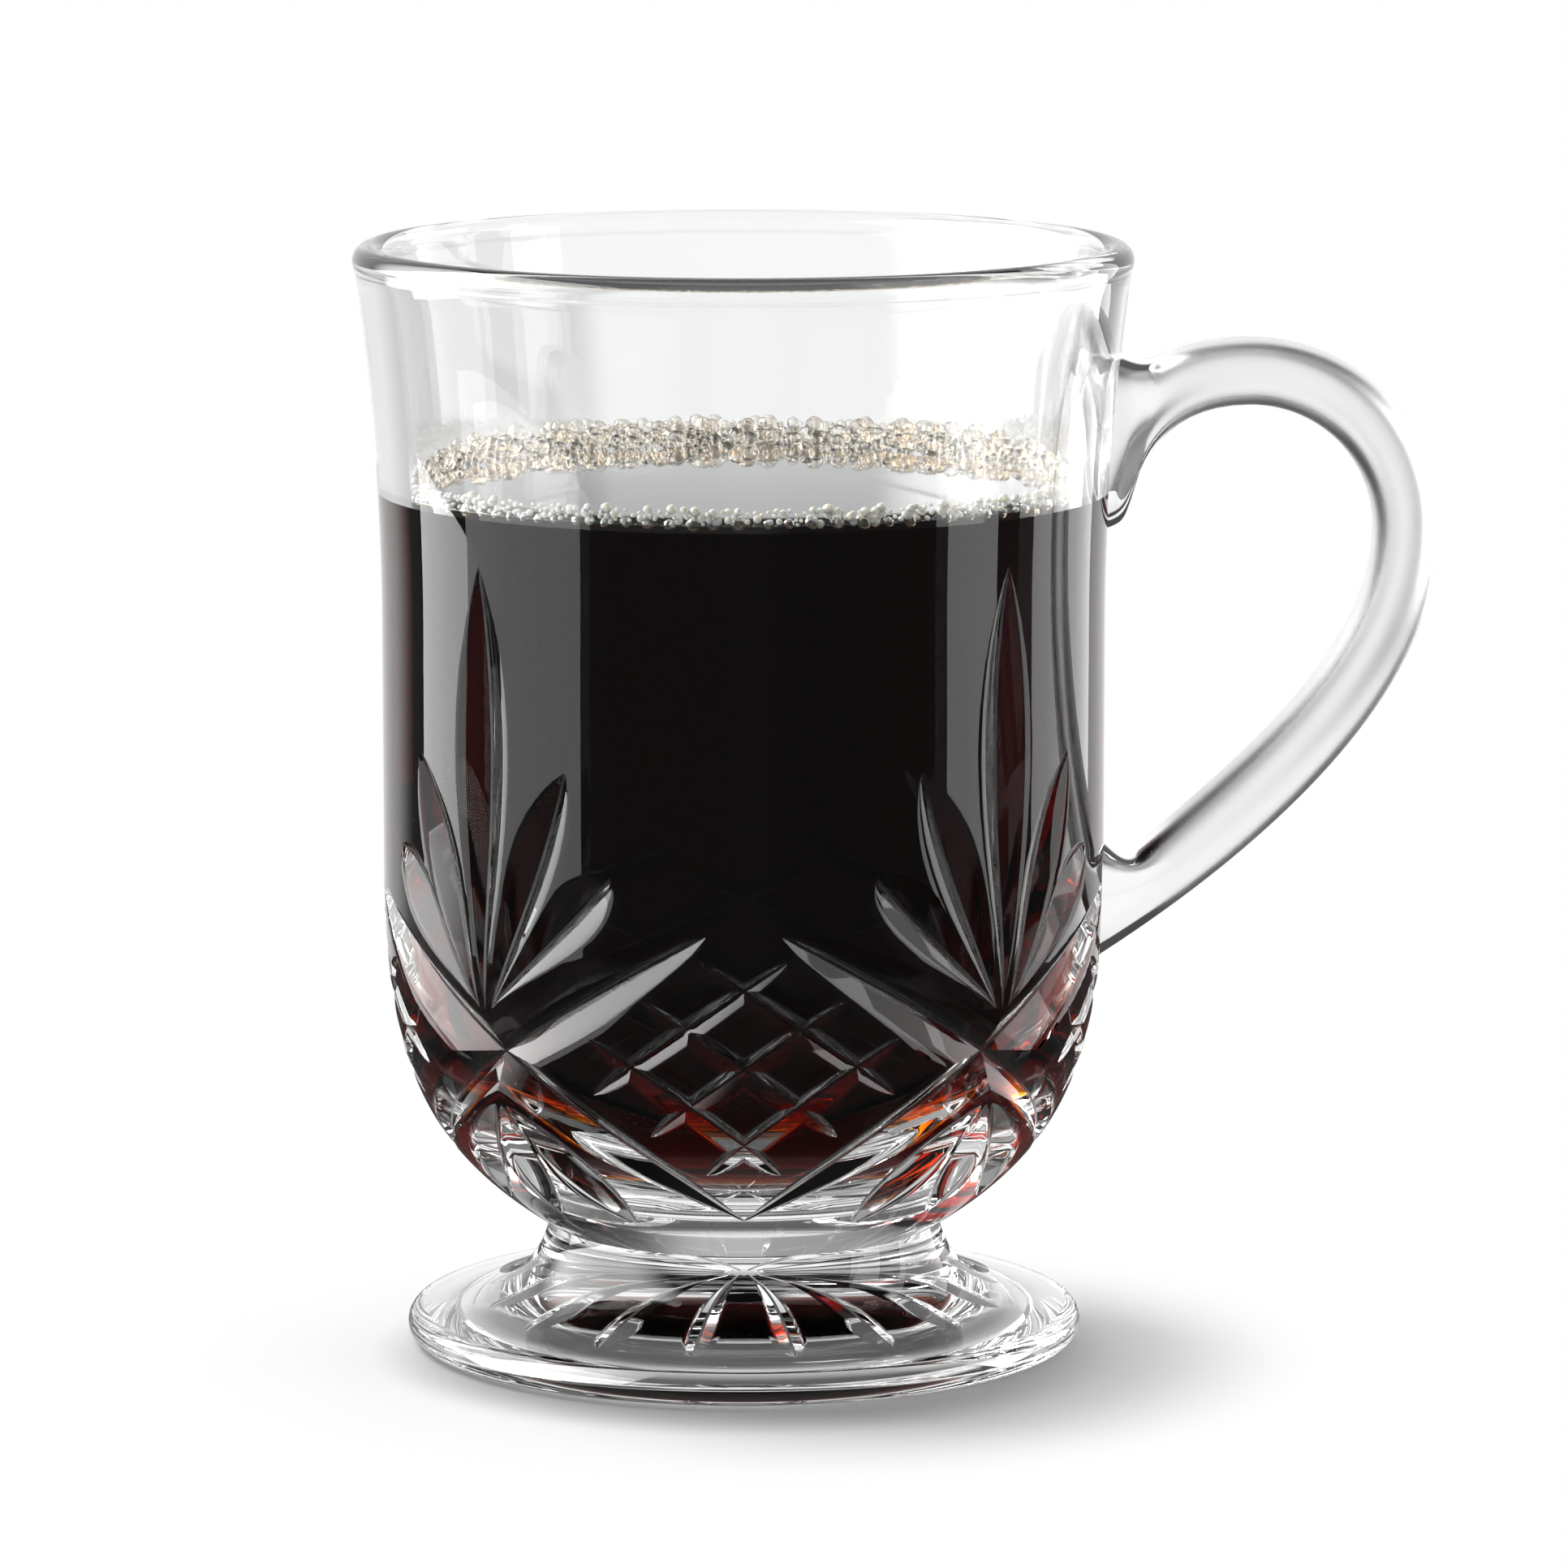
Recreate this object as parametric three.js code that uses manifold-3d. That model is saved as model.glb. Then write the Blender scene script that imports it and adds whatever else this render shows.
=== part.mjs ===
// Footed glass mug with a looped handle and cut leaf and diamond decoration, filled with black coffee.
// Millimetres, +Z up. The mug stands on z = 0 with its axis on Z, and its handle points along +X.
import * as THREE from 'three';
import { mergeVertices } from 'three/addons/utils/BufferGeometryUtils.js';
import Module from 'manifold-3d';

const wasm = await Module();
wasm.setup();

// Bowl
const MUG_HEIGHT = 114;
const RIM_RADIUS = 40;
const BODY_RADIUS = 37.2;
const WALL = 3.4;
const FLARE_DROP = 40;
const FLARE_POWER = 2;
const BELLY_HEIGHT = 37.2;
const BELLY_SIDE_PULL = 20.5;
const BELLY_BASE_PULL = 15.2;
const BELLY_BASE_SLOPE = 31.6;
const FLOOR_THICKNESS = 8.1;
const INNER_CORNER_RISE = 7.5;
const INNER_CORNER_INSET = 5.8;

// Foot
const FOOT_HEIGHT = 12.4;
const FOOT_RADIUS = 35;
const FOOT_EDGE_ROUND = 1.7;
const JOINT_RADIUS = 20.2;
const FOOT_TOP_PULL = 8.8;
const FOOT_TOP_RISE = 0.8;
const FOOT_NECK_PULL = 5.4;
const FOOT_NECK_FLARE = 1.2;

// Star cut under the foot
const STAR_RAYS = 16;
const STAR_INNER_RADIUS = 3.5;
const STAR_OUTER_RADIUS = 27;
const STAR_HALF_WIDTH = 2.2;

// Handle
const HANDLE_STANDOFF = 14.8;
const HANDLE_TOP_DROP = 9.85;
const HANDLE_BEND_RADIUS = 16.1;
const HANDLE_THICKNESS = 6.8;
const HANDLE_WIDTH = 9.2;
const HANDLE_CORNER_ROUND = 2.2;
const UPPER_ROOT_DROP = 6.3;
const UPPER_ROOT_PULL = 4.3;
const UPPER_ROOT_CLIMB = 4;
const UPPER_TOP_PULL = 5.9;
const TOE_DROP = 17.75;
const TOE_PROUD = 2.2;
const TOE_END_DROP = 1.9;
const TOE_TOP_PULL = 7.8;
const TOE_SIDE_RISE = 6.6;
const TOE_SIDE_FLARE = 1.4;
const LOWER_ROOT_RISE = 27.1;
const LOWER_ROOT_SPAN = 7.1;
const LOWER_OUTER_DROP = 18.3;
const LOWER_OUTER_PULL = 16.1;
const LOWER_OUTER_SLOPE = 0.65;
const LOWER_INNER_DROP = 13.7;
const LOWER_INNER_PULL = 13.6;
const LOWER_INNER_SLOPE = 0.9;
const FUSE_GAP = 0.3;

// Cut decoration: heights above the bowl's base, angles from the middle of a panel or of a fan
const PANELS = 4;
const GROOVE_SLOPE = 0.45;
const CUTTER_RISE = 0.8;
const CROSS_RISE = 22.1;
const ARM_TOP_RISE = 37.8;
const ARM_BOTTOM_RISE = 5.3;
const ARM_HALF_WIDTH = 1.9;
const LATTICE_STEP_ANGLE = 9.3;
const LATTICE_STEP_RISE = 4.15;
const LATTICE_OVERRUN = 0.85;
const LATTICE_HALF_WIDTH = 1.5;
const FAN_FOCUS_RISE = 27.6;
const FAN_FOCUS_SPREAD = 1.4;
const FAN_CENTRE_TIP_RISE = 71.6;
const FAN_CENTRE_HALF_WIDTH = 2.9;
const FAN_MIDDLE_TIP_RISE = 51.8;
const FAN_MIDDLE_TIP_ANGLE = 16.5;
const FAN_MIDDLE_HALF_WIDTH = 2.3;
const FAN_OUTER_TIP_RISE = 41.5;
const FAN_OUTER_TIP_ANGLE = 24;
const FAN_OUTER_HALF_WIDTH = 1.7;
const BASE_FAN_FOCUS_RISE = 16;
const BASE_FAN_TIP_RISE = 4.6;
const BASE_FAN_TIP_ANGLE = 21;
const BASE_FAN_HALF_WIDTH = 2;
const CUT_FULLNESS = 0.7;

// Coffee and froth
const COFFEE_DROP = 24;
const COFFEE_CLEARANCE = 0.3;
const FROTH_HEIGHT = 2.2;
const FROTH_RING_WIDTH = 3;
const FROTH_BACK_WIDTH = 9;
const FROTH_BACK_POWER = 3;

// Facets
const AROUND = 56;
const BELLY_STEPS = 8;
const FLARE_STEPS = 5;
const STRAIGHT_STEPS = 2;
const ROUND_STEPS = 6;
const INNER_STEPS = 6;
const CURVE_STEPS = 12;
const CORNER_STEPS = 3;
const GROOVE_STEPS = 5;
const ARM_STEPS = 12;
const STAR_STEPS = 5;

// Heights and radii that follow from the sizes above
const DEGREE = Math.PI / 180;
const BELLY_TOP = FOOT_HEIGHT + BELLY_HEIGHT;
const FLARE_START = MUG_HEIGHT - FLARE_DROP;
const RIM_ROUND = WALL / 2;
const RIM_CENTRE = MUG_HEIGHT - RIM_ROUND;
const FLOOR_LEVEL = FOOT_HEIGHT + FLOOR_THICKNESS;
const COFFEE_LEVEL = MUG_HEIGHT - COFFEE_DROP;

// Half-profiles of the glass, as radius and height

function flareRadius(height) {
  const share = Math.max(0, height - FLARE_START) / (RIM_CENTRE - FLARE_START);
  return BODY_RADIUS + (RIM_RADIUS - BODY_RADIUS) * share ** FLARE_POWER;
}

function heightsUpTo(top) {
  const heights = [];
  const kink = Math.min(FLARE_START, top);
  for (let i = 1; i <= STRAIGHT_STEPS; i += 1) {
    heights.push(BELLY_TOP + ((kink - BELLY_TOP) * i) / STRAIGHT_STEPS);
  }
  for (let i = 1; i <= FLARE_STEPS && top > kink; i += 1) {
    heights.push(kink + ((top - kink) * i) / FLARE_STEPS);
  }
  return heights;
}

function outerProfile() {
  const slope = BELLY_BASE_SLOPE * DEGREE;
  const belly = new THREE.CubicBezierCurve(
    new THREE.Vector2(JOINT_RADIUS, FOOT_HEIGHT),
    new THREE.Vector2(
      JOINT_RADIUS + BELLY_BASE_PULL * Math.cos(slope),
      FOOT_HEIGHT + BELLY_BASE_PULL * Math.sin(slope),
    ),
    new THREE.Vector2(BODY_RADIUS, BELLY_TOP - BELLY_SIDE_PULL),
    new THREE.Vector2(BODY_RADIUS, BELLY_TOP),
  );
  const side = heightsUpTo(RIM_CENTRE).map((z) => new THREE.Vector2(flareRadius(z), z));
  return [...belly.getPoints(BELLY_STEPS), ...side];
}

function innerProfile(clearance, top) {
  const radius = BODY_RADIUS - WALL - clearance;
  const floor = FLOOR_LEVEL + clearance;
  const belly = new THREE.CubicBezierCurve(
    new THREE.Vector2(0, floor),
    new THREE.Vector2(radius - INNER_CORNER_INSET, floor),
    new THREE.Vector2(radius, floor + INNER_CORNER_RISE),
    new THREE.Vector2(radius, BELLY_TOP),
  );
  const inset = WALL + clearance;
  const side = heightsUpTo(top).map((z) => new THREE.Vector2(flareRadius(z) - inset, z));
  return [...belly.getPoints(INNER_STEPS), ...side];
}

function rimArc() {
  const centre = RIM_RADIUS - RIM_ROUND;
  const arc = new THREE.EllipseCurve(centre, RIM_CENTRE, RIM_ROUND, RIM_ROUND, 0, Math.PI);
  return arc.getPoints(ROUND_STEPS).slice(1, -1);
}

function footProfile() {
  const edgeCentre = FOOT_RADIUS - FOOT_EDGE_ROUND;
  const edge = new THREE.EllipseCurve(
    edgeCentre, FOOT_EDGE_ROUND, FOOT_EDGE_ROUND, FOOT_EDGE_ROUND, -Math.PI / 2, Math.PI / 2,
  );
  const edgeTop = 2 * FOOT_EDGE_ROUND;
  const sweep = new THREE.CubicBezierCurve(
    new THREE.Vector2(edgeCentre, edgeTop),
    new THREE.Vector2(edgeCentre - FOOT_TOP_PULL, edgeTop + FOOT_TOP_RISE),
    new THREE.Vector2(JOINT_RADIUS + FOOT_NECK_FLARE, FOOT_HEIGHT - FOOT_NECK_PULL),
    new THREE.Vector2(JOINT_RADIUS, FOOT_HEIGHT),
  );
  return [
    new THREE.Vector2(0, 0),
    ...edge.getPoints(ROUND_STEPS),
    ...sweep.getPoints(BELLY_STEPS).slice(1),
    new THREE.Vector2(0, FOOT_HEIGHT),
  ];
}

// Solids

function turned(profile) {
  const geometry = new THREE.LatheGeometry(profile, AROUND);
  geometry.rotateX(Math.PI / 2);
  return geometry;
}

function solidOf(geometry) {
  const bare = geometry.clone();
  bare.deleteAttribute('normal');
  bare.deleteAttribute('uv');
  const merged = mergeVertices(bare);
  const corners = merged.index.array;
  const triangles = [];
  for (let i = 0; i < corners.length; i += 3) {
    const [a, b, c] = [corners[i], corners[i + 1], corners[i + 2]];
    if (a !== b && b !== c && c !== a) {
      triangles.push(a, b, c);
    }
  }
  return new wasm.Manifold(new wasm.Mesh({
    numProp: 3,
    vertProperties: new Float32Array(merged.getAttribute('position').array),
    triVerts: new Uint32Array(triangles),
  }));
}

function geometryOf(solid) {
  const mesh = solid.getMesh();
  const geometry = new THREE.BufferGeometry();
  geometry.setAttribute('position', new THREE.BufferAttribute(mesh.vertProperties, 3));
  geometry.setIndex(new THREE.BufferAttribute(mesh.triVerts, 1));
  geometry.computeVertexNormals();
  return geometry;
}

// V-groove cutters: each is a three-sided bar that follows points on a surface

function grooveCutter(samples) {
  const positions = [];
  const corners = [];
  samples.forEach(({ point, normal, halfWidth }, i) => {
    const before = samples[Math.max(i - 1, 0)].point;
    const after = samples[Math.min(i + 1, samples.length - 1)].point;
    const along = after.clone().sub(before).normalize();
    const side = along.clone().cross(normal).normalize();
    const reach = halfWidth + CUTTER_RISE / GROOVE_SLOPE;
    const top = point.clone().addScaledVector(normal, CUTTER_RISE);
    const apex = point.clone().addScaledVector(normal, -halfWidth * GROOVE_SLOPE);
    const left = top.clone().addScaledVector(side, -reach);
    const right = top.clone().addScaledVector(side, reach);
    positions.push(...apex.toArray(), ...left.toArray(), ...right.toArray());
  });
  for (let i = 0; i + 1 < samples.length; i += 1) {
    for (let k = 0; k < 3; k += 1) {
      const a = 3 * i + k;
      const b = 3 * i + ((k + 1) % 3);
      corners.push(a, b, b + 3, a, b + 3, a + 3);
    }
  }
  const end = positions.length / 3 - 3;
  corners.push(0, 2, 1, end, end + 1, end + 2);
  const geometry = new THREE.BufferGeometry();
  geometry.setAttribute('position', new THREE.BufferAttribute(new Float32Array(positions), 3));
  geometry.setIndex(corners);
  return solidOf(geometry);
}

function taper(share) {
  return Math.sin(Math.PI * share) ** CUT_FULLNESS;
}

function surfaceSample(profile, angle, height, halfWidth) {
  const above = profile.findIndex((p) => p.y >= height);
  const upper = profile[Math.max(above, 1)];
  const lower = profile[Math.max(above, 1) - 1];
  const slope = (upper.x - lower.x) / (upper.y - lower.y);
  const radius = lower.x + slope * (height - lower.y);
  const outward = new THREE.Vector3(Math.sin(angle), -Math.cos(angle), 0);
  const point = outward.clone().multiplyScalar(radius).setZ(height);
  const normal = outward.clone().setZ(-slope).normalize();
  return { point, normal, halfWidth };
}

function bowlGroove(profile, from, to, halfWidth, steps) {
  const samples = [];
  for (let i = 0; i <= steps; i += 1) {
    const share = i / steps;
    const angle = THREE.MathUtils.lerp(from.angle, to.angle, share) * DEGREE;
    const height = FOOT_HEIGHT + THREE.MathUtils.lerp(from.rise, to.rise, share);
    samples.push(surfaceSample(profile, angle, height, halfWidth * taper(share)));
  }
  return grooveCutter(samples);
}

function latticeGrooves(profile, panelAngle) {
  const grooves = [];
  const end = 1 + LATTICE_OVERRUN;
  const spot = (u, v) => ({
    angle: panelAngle + (u - v) * LATTICE_STEP_ANGLE,
    rise: CROSS_RISE + (u + v) * LATTICE_STEP_RISE,
  });
  for (let line = -1; line <= 1; line += 1) {
    grooves.push(
      bowlGroove(profile, spot(-end, line), spot(end, line), LATTICE_HALF_WIDTH, GROOVE_STEPS),
      bowlGroove(profile, spot(line, -end), spot(line, end), LATTICE_HALF_WIDTH, GROOVE_STEPS),
    );
  }
  return grooves;
}

function armGrooves(profile, fanAngle) {
  const half = 180 / PANELS;
  return [-1, 1].map((hand) => bowlGroove(
    profile,
    { angle: fanAngle - hand * half, rise: ARM_BOTTOM_RISE },
    { angle: fanAngle + hand * half, rise: ARM_TOP_RISE },
    ARM_HALF_WIDTH,
    ARM_STEPS,
  ));
}

function fanGrooves(profile, fanAngle) {
  const leaf = (lean, focusRise, tipAngle, tipRise, halfWidth) => bowlGroove(
    profile,
    { angle: fanAngle + lean * FAN_FOCUS_SPREAD, rise: focusRise },
    { angle: fanAngle + lean * tipAngle, rise: tipRise },
    halfWidth,
    GROOVE_STEPS,
  );
  const grooves = [
    leaf(0, FAN_FOCUS_RISE, 0, FAN_CENTRE_TIP_RISE, FAN_CENTRE_HALF_WIDTH),
    leaf(0, BASE_FAN_FOCUS_RISE, 0, BASE_FAN_TIP_RISE, BASE_FAN_HALF_WIDTH),
  ];
  for (const hand of [-1, 1]) {
    grooves.push(
      leaf(hand, FAN_FOCUS_RISE, FAN_MIDDLE_TIP_ANGLE, FAN_MIDDLE_TIP_RISE, FAN_MIDDLE_HALF_WIDTH),
      leaf(hand, FAN_FOCUS_RISE, FAN_OUTER_TIP_ANGLE, FAN_OUTER_TIP_RISE, FAN_OUTER_HALF_WIDTH),
      leaf(hand, BASE_FAN_FOCUS_RISE, BASE_FAN_TIP_ANGLE, BASE_FAN_TIP_RISE, BASE_FAN_HALF_WIDTH),
    );
  }
  return grooves;
}

function starGrooves() {
  const down = new THREE.Vector3(0, 0, -1);
  const grooves = [];
  for (let ray = 0; ray < STAR_RAYS; ray += 1) {
    const angle = ((ray + 0.5) / STAR_RAYS) * 2 * Math.PI;
    const samples = [];
    for (let i = 0; i <= STAR_STEPS; i += 1) {
      const share = i / STAR_STEPS;
      const radius = THREE.MathUtils.lerp(STAR_INNER_RADIUS, STAR_OUTER_RADIUS, share);
      const point = new THREE.Vector3(radius * Math.cos(angle), radius * Math.sin(angle), 0);
      samples.push({ point, normal: down, halfWidth: STAR_HALF_WIDTH * taper(share) });
    }
    grooves.push(grooveCutter(samples));
  }
  return grooves;
}

// Handle: its side outline, extruded across the mug with rounded corners

function handleOutline() {
  const root = BODY_RADIUS - RIM_ROUND;
  const bendX = BODY_RADIUS + HANDLE_STANDOFF;
  const outerBend = HANDLE_BEND_RADIUS + HANDLE_THICKNESS / 2;
  const innerBend = HANDLE_BEND_RADIUS - HANDLE_THICKNESS / 2;
  const top = MUG_HEIGHT - HANDLE_TOP_DROP;
  const bendZ = top - outerBend;
  const innerTop = bendZ + innerBend;
  const upperRoot = top - UPPER_ROOT_DROP;
  const lowerOuter = FOOT_HEIGHT + LOWER_ROOT_RISE;
  const lowerInner = lowerOuter + LOWER_ROOT_SPAN;
  const toeX = BODY_RADIUS + TOE_PROUD;
  const toeZ = top - TOE_DROP;
  const shape = new THREE.Shape();
  shape.moveTo(root, upperRoot);
  shape.bezierCurveTo(
    root + UPPER_ROOT_PULL, upperRoot + UPPER_ROOT_CLIMB, bendX - UPPER_TOP_PULL, top, bendX, top,
  );
  shape.absarc(bendX, bendZ, outerBend, Math.PI / 2, 0, true);
  shape.bezierCurveTo(
    bendX + outerBend, bendZ - LOWER_OUTER_DROP,
    root + LOWER_OUTER_PULL, lowerOuter + LOWER_OUTER_PULL * LOWER_OUTER_SLOPE,
    root, lowerOuter,
  );
  shape.lineTo(root, lowerInner);
  shape.bezierCurveTo(
    root + LOWER_INNER_PULL, lowerInner + LOWER_INNER_PULL * LOWER_INNER_SLOPE,
    bendX + innerBend, bendZ - LOWER_INNER_DROP,
    bendX + innerBend, bendZ,
  );
  shape.absarc(bendX, bendZ, innerBend, 0, Math.PI / 2, false);
  shape.bezierCurveTo(
    bendX - TOE_TOP_PULL, innerTop, toeX + TOE_SIDE_FLARE, toeZ + TOE_SIDE_RISE, toeX, toeZ,
  );
  shape.lineTo(root, toeZ - TOE_END_DROP);
  shape.closePath();
  return shape;
}

function handleBlank() {
  const geometry = new THREE.ExtrudeGeometry(handleOutline(), {
    depth: HANDLE_WIDTH - 2 * HANDLE_CORNER_ROUND,
    curveSegments: CURVE_STEPS,
    bevelEnabled: true,
    bevelThickness: HANDLE_CORNER_ROUND,
    bevelSize: HANDLE_CORNER_ROUND,
    bevelOffset: -HANDLE_CORNER_ROUND,
    bevelSegments: CORNER_STEPS,
  });
  geometry.translate(0, 0, HANDLE_CORNER_ROUND - HANDLE_WIDTH / 2);
  geometry.rotateX(Math.PI / 2);
  return solidOf(geometry);
}

// Froth: a ring on the coffee that widens to a crescent at the back

function frothGeometry() {
  const wall = flareRadius(COFFEE_LEVEL) - WALL - COFFEE_CLEARANCE;
  const shape = new THREE.Shape();
  shape.absarc(0, 0, wall, 0, 2 * Math.PI, false);
  const inside = [];
  for (let i = 0; i < AROUND; i += 1) {
    const angle = (-2 * Math.PI * i) / AROUND;
    const back = Math.max(0, Math.sin(angle)) ** FROTH_BACK_POWER;
    const radius = wall - FROTH_RING_WIDTH - FROTH_BACK_WIDTH * back;
    inside.push(new THREE.Vector2(radius * Math.cos(angle), radius * Math.sin(angle)));
  }
  shape.holes.push(new THREE.Path(inside));
  const geometry = new THREE.ExtrudeGeometry(shape, {
    depth: FROTH_HEIGHT,
    curveSegments: AROUND,
    bevelEnabled: false,
  });
  geometry.translate(0, 0, COFFEE_LEVEL);
  return geometry;
}

// Sub-parts

const GLASS = { color: 0xe9eef0, roughness: 0.02, metalness: 0, transparent: true, opacity: 0.35 };

function named(name, geometry, look) {
  const mesh = new THREE.Mesh(geometry, new THREE.MeshStandardMaterial(look));
  mesh.name = name;
  return mesh;
}

function bowl(outer, blank) {
  const inner = innerProfile(0, RIM_CENTRE).reverse();
  const base = new THREE.Vector2(0, FOOT_HEIGHT);
  const body = solidOf(turned([base, ...outer, ...rimArc(), ...inner]));
  const cuts = [];
  for (let panel = 0; panel < PANELS; panel += 1) {
    const panelAngle = (360 / PANELS) * panel;
    const fanAngle = panelAngle + 180 / PANELS;
    cuts.push(
      ...latticeGrooves(outer, panelAngle),
      ...armGrooves(outer, fanAngle),
      ...fanGrooves(outer, fanAngle),
    );
  }
  const cut = cuts.reduce((all, groove) => all.add(groove)).subtract(blank);
  return named('bowl', geometryOf(body.subtract(cut)), GLASS);
}

function foot() {
  const star = starGrooves().reduce((all, groove) => all.add(groove));
  return named('foot', geometryOf(solidOf(turned(footProfile())).subtract(star)), GLASS);
}

function handle(outer, blank) {
  const envelope = [
    new THREE.Vector2(0, FOOT_HEIGHT),
    ...outer.map((p) => new THREE.Vector2(p.x + FUSE_GAP, p.y)),
    new THREE.Vector2(0, RIM_CENTRE),
  ];
  return named('handle', geometryOf(blank.subtract(solidOf(turned(envelope)))), GLASS);
}

function coffee() {
  const profile = innerProfile(COFFEE_CLEARANCE, COFFEE_LEVEL);
  const surface = new THREE.Vector2(0, COFFEE_LEVEL);
  const look = { color: 0x1a0a05, roughness: 0.05, metalness: 0 };
  return named('coffee', geometryOf(solidOf(turned([...profile, surface]))), look);
}

function froth() {
  const look = { color: 0xd9cfae, roughness: 0.5, metalness: 0 };
  return named('froth', geometryOf(solidOf(frothGeometry())), look);
}

const outer = outerProfile();
const blank = handleBlank();
const mug = new THREE.Group();
mug.add(bowl(outer, blank), foot(), handle(outer, blank), coffee(), froth());

export default mug;
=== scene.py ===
"""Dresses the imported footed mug: cut clear glass, black coffee and froth, on a white studio stage."""

import math

import bmesh
import bpy
import numpy as np
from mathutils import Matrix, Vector
from mathutils.geometry import interpolate_bezier


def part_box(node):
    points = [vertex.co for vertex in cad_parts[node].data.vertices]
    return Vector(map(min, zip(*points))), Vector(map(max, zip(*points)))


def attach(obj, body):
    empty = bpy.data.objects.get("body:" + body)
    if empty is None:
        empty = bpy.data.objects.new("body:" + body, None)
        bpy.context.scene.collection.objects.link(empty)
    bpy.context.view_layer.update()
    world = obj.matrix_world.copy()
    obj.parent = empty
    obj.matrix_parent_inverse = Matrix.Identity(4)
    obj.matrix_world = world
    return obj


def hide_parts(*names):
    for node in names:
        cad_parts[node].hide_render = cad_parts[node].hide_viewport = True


bl_info = {
    "name": "Footed Mug",
    "version": (1, 0, 0),
    "blender": (4, 5, 0),
    "location": "View3D > Sidebar > Footed Mug",
    "description": "Makes a footed mug of cut glass with coffee and froth, on a white stage",
    "category": "Add Mesh",
}

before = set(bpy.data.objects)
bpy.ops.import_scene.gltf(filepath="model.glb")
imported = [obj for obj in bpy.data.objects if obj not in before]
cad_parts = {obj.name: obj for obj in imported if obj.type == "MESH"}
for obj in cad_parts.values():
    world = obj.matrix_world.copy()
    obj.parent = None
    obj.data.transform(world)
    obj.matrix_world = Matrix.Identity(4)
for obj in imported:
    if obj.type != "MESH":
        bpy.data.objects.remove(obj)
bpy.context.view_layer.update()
BOWL_LOW, BOWL_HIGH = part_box("bowl")
FOOT_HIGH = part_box("foot")[1]
HANDLE_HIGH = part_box("handle")[1]
COFFEE_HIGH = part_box("coffee")[1]

MM = 0.001
BODY = "root"

# How finely curves are stepped
TURN_SEGMENTS = 224
BED_SEGMENTS = 160
BED_ANGLES = [2 * math.pi * j / BED_SEGMENTS for j in range(BED_SEGMENTS)]
TABLE_SEGMENTS = 96
BELLY_STEPS, FLARE_STEPS, BEAD_STEPS, RIM_STEPS = 40, 34, 8, 20
FLOOR_STEPS, WALL_STEPS = 36, 30
HOLLOW_STEPS, SWEEP_STEPS = 24, 40
TOE_STEPS, CROWN_STEPS, BEND_STEPS, RUN_STEPS, CROOK_STEPS = 14, 12, 34, 28, 12
ROOT_STEPS = 20
SECTION_STEPS = 40
DIP_STEPS = 16
WALL_ROWS, FOAM_ROWS = 4, 8

# Rounding of a cut's shoulder, its bottom, its tips, and of the rim's bead
ROUNDING = (0.12, 0.35, 0.6, 0.8, 1.0)
VALLEY_LIMIT = 0.4
SHARP_TIP = 0.004
BEAD_SHOULDER = 0.25

# How faces are told apart
TINY = 1e-9
PULL_IN = 0.02
FACET_CREASE, TURNED_MATCH = math.radians(16), math.radians(3)
DRINK_CREASE, DRINK_MATCH = math.radians(30), math.radians(25)
HANDLE_CREASE = math.radians(30)
SEAT_MATCH = math.radians(9)
SEAT_PART = 0.3
FACING = 0.99
NEAR_WALL, NEAR_FILM, NEAR_JOINT = 0.2 * MM, 0.05 * MM, 0.01 * MM
GROUND = "ground"
KIND = "kind"

# Glass, coffee and bubbles: how they bend light, their grain, and their least and most roughness
GLASS_IOR = 1.47
COFFEE_IOR = 1.333
FILM_IOR = 1.8
BUBBLE_IOR = 1.14
AIR_IN_COFFEE = 1 / COFFEE_IOR
HANDLING_GRAIN, WAVE_GRAIN, COFFEE_GRAIN, BUBBLE_GRAIN = 140, 26, 90, 900
NOISE_LOW, NOISE_HIGH = 0.3, 0.7
POLISHED, LEFT_ROUGH, SATIN = (0.0, 0.012), (0.25, 0.55), (0.38, 0.46)
STILL, WET, CREAMY = (0.0, 0.02), (0.0, 0.06), (0.1, 0.3)
WAVE_HEIGHT = 0.1 * MM
FUSED_RUN, FUSED_PART = 5 * MM, 0.02
LIGHT_WANDER, WANDER_BY_COLOUR = 1 * MM, (1.0, 0.85, 0.65)

# Each kind of bubble: its name, how far it sinks into its bed, and its least size, as parts of its radius
FOAM, BEADS, DROPS = range(3)
BUBBLES = (("foam", 0.4, 0.34), ("bead", -0.04, 0.34), ("drop", -0.04, 0.5))
BUBBLE_DENSITY = 4e6
BUBBLE_RARITY = 2.2
LARGE_BUBBLE = 0.95 * MM
BUBBLE_SIZES = [f"{name}_{size}" for name, _, _ in BUBBLES for size in ("radius", "gap")]
SMALL_FINENESS, LARGE_FINENESS = 2, 3

# Camera and renderer
SENSOR_WIDTH = 36
NEAREST, FARTHEST = 0.01, 20
BOUNCES, GLOSSY_BOUNCES = 32, 12

# Lamps: degrees left of the camera, degrees up, metres away, width and height in metres, radiance
LAMPS = {
    "soft_box_left": (109.5, -3.9, 3.0, (1.325, 0.67), 4.6),
    "soft_box_near_left": (74.8, -6, 3.0, (2.449, 0.897), 1.9),
    "soft_box_high_left": (95, 30, 0.6, (1.2, 0.64), 8.0),
    "strip_right": (-75, 4.5, 0.6, (0.21, 0.44), 2.4),
    "soft_box_right": (-121, 4.5, 0.7, (0.5, 0.51), 2.4),
    "soft_box_high_right": (-87.5, 19.5, 0.7, (0.44, 0.388), 1.4),
    "soft_box_back": (122, 48, 0.8, (0.5, 0.5), 9.2),
}
LAMP_AIM = Vector((0, 0, 60 * MM))
SOFT_SIDES = 0.3
WHITE = (1, 1, 1, 1)

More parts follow.
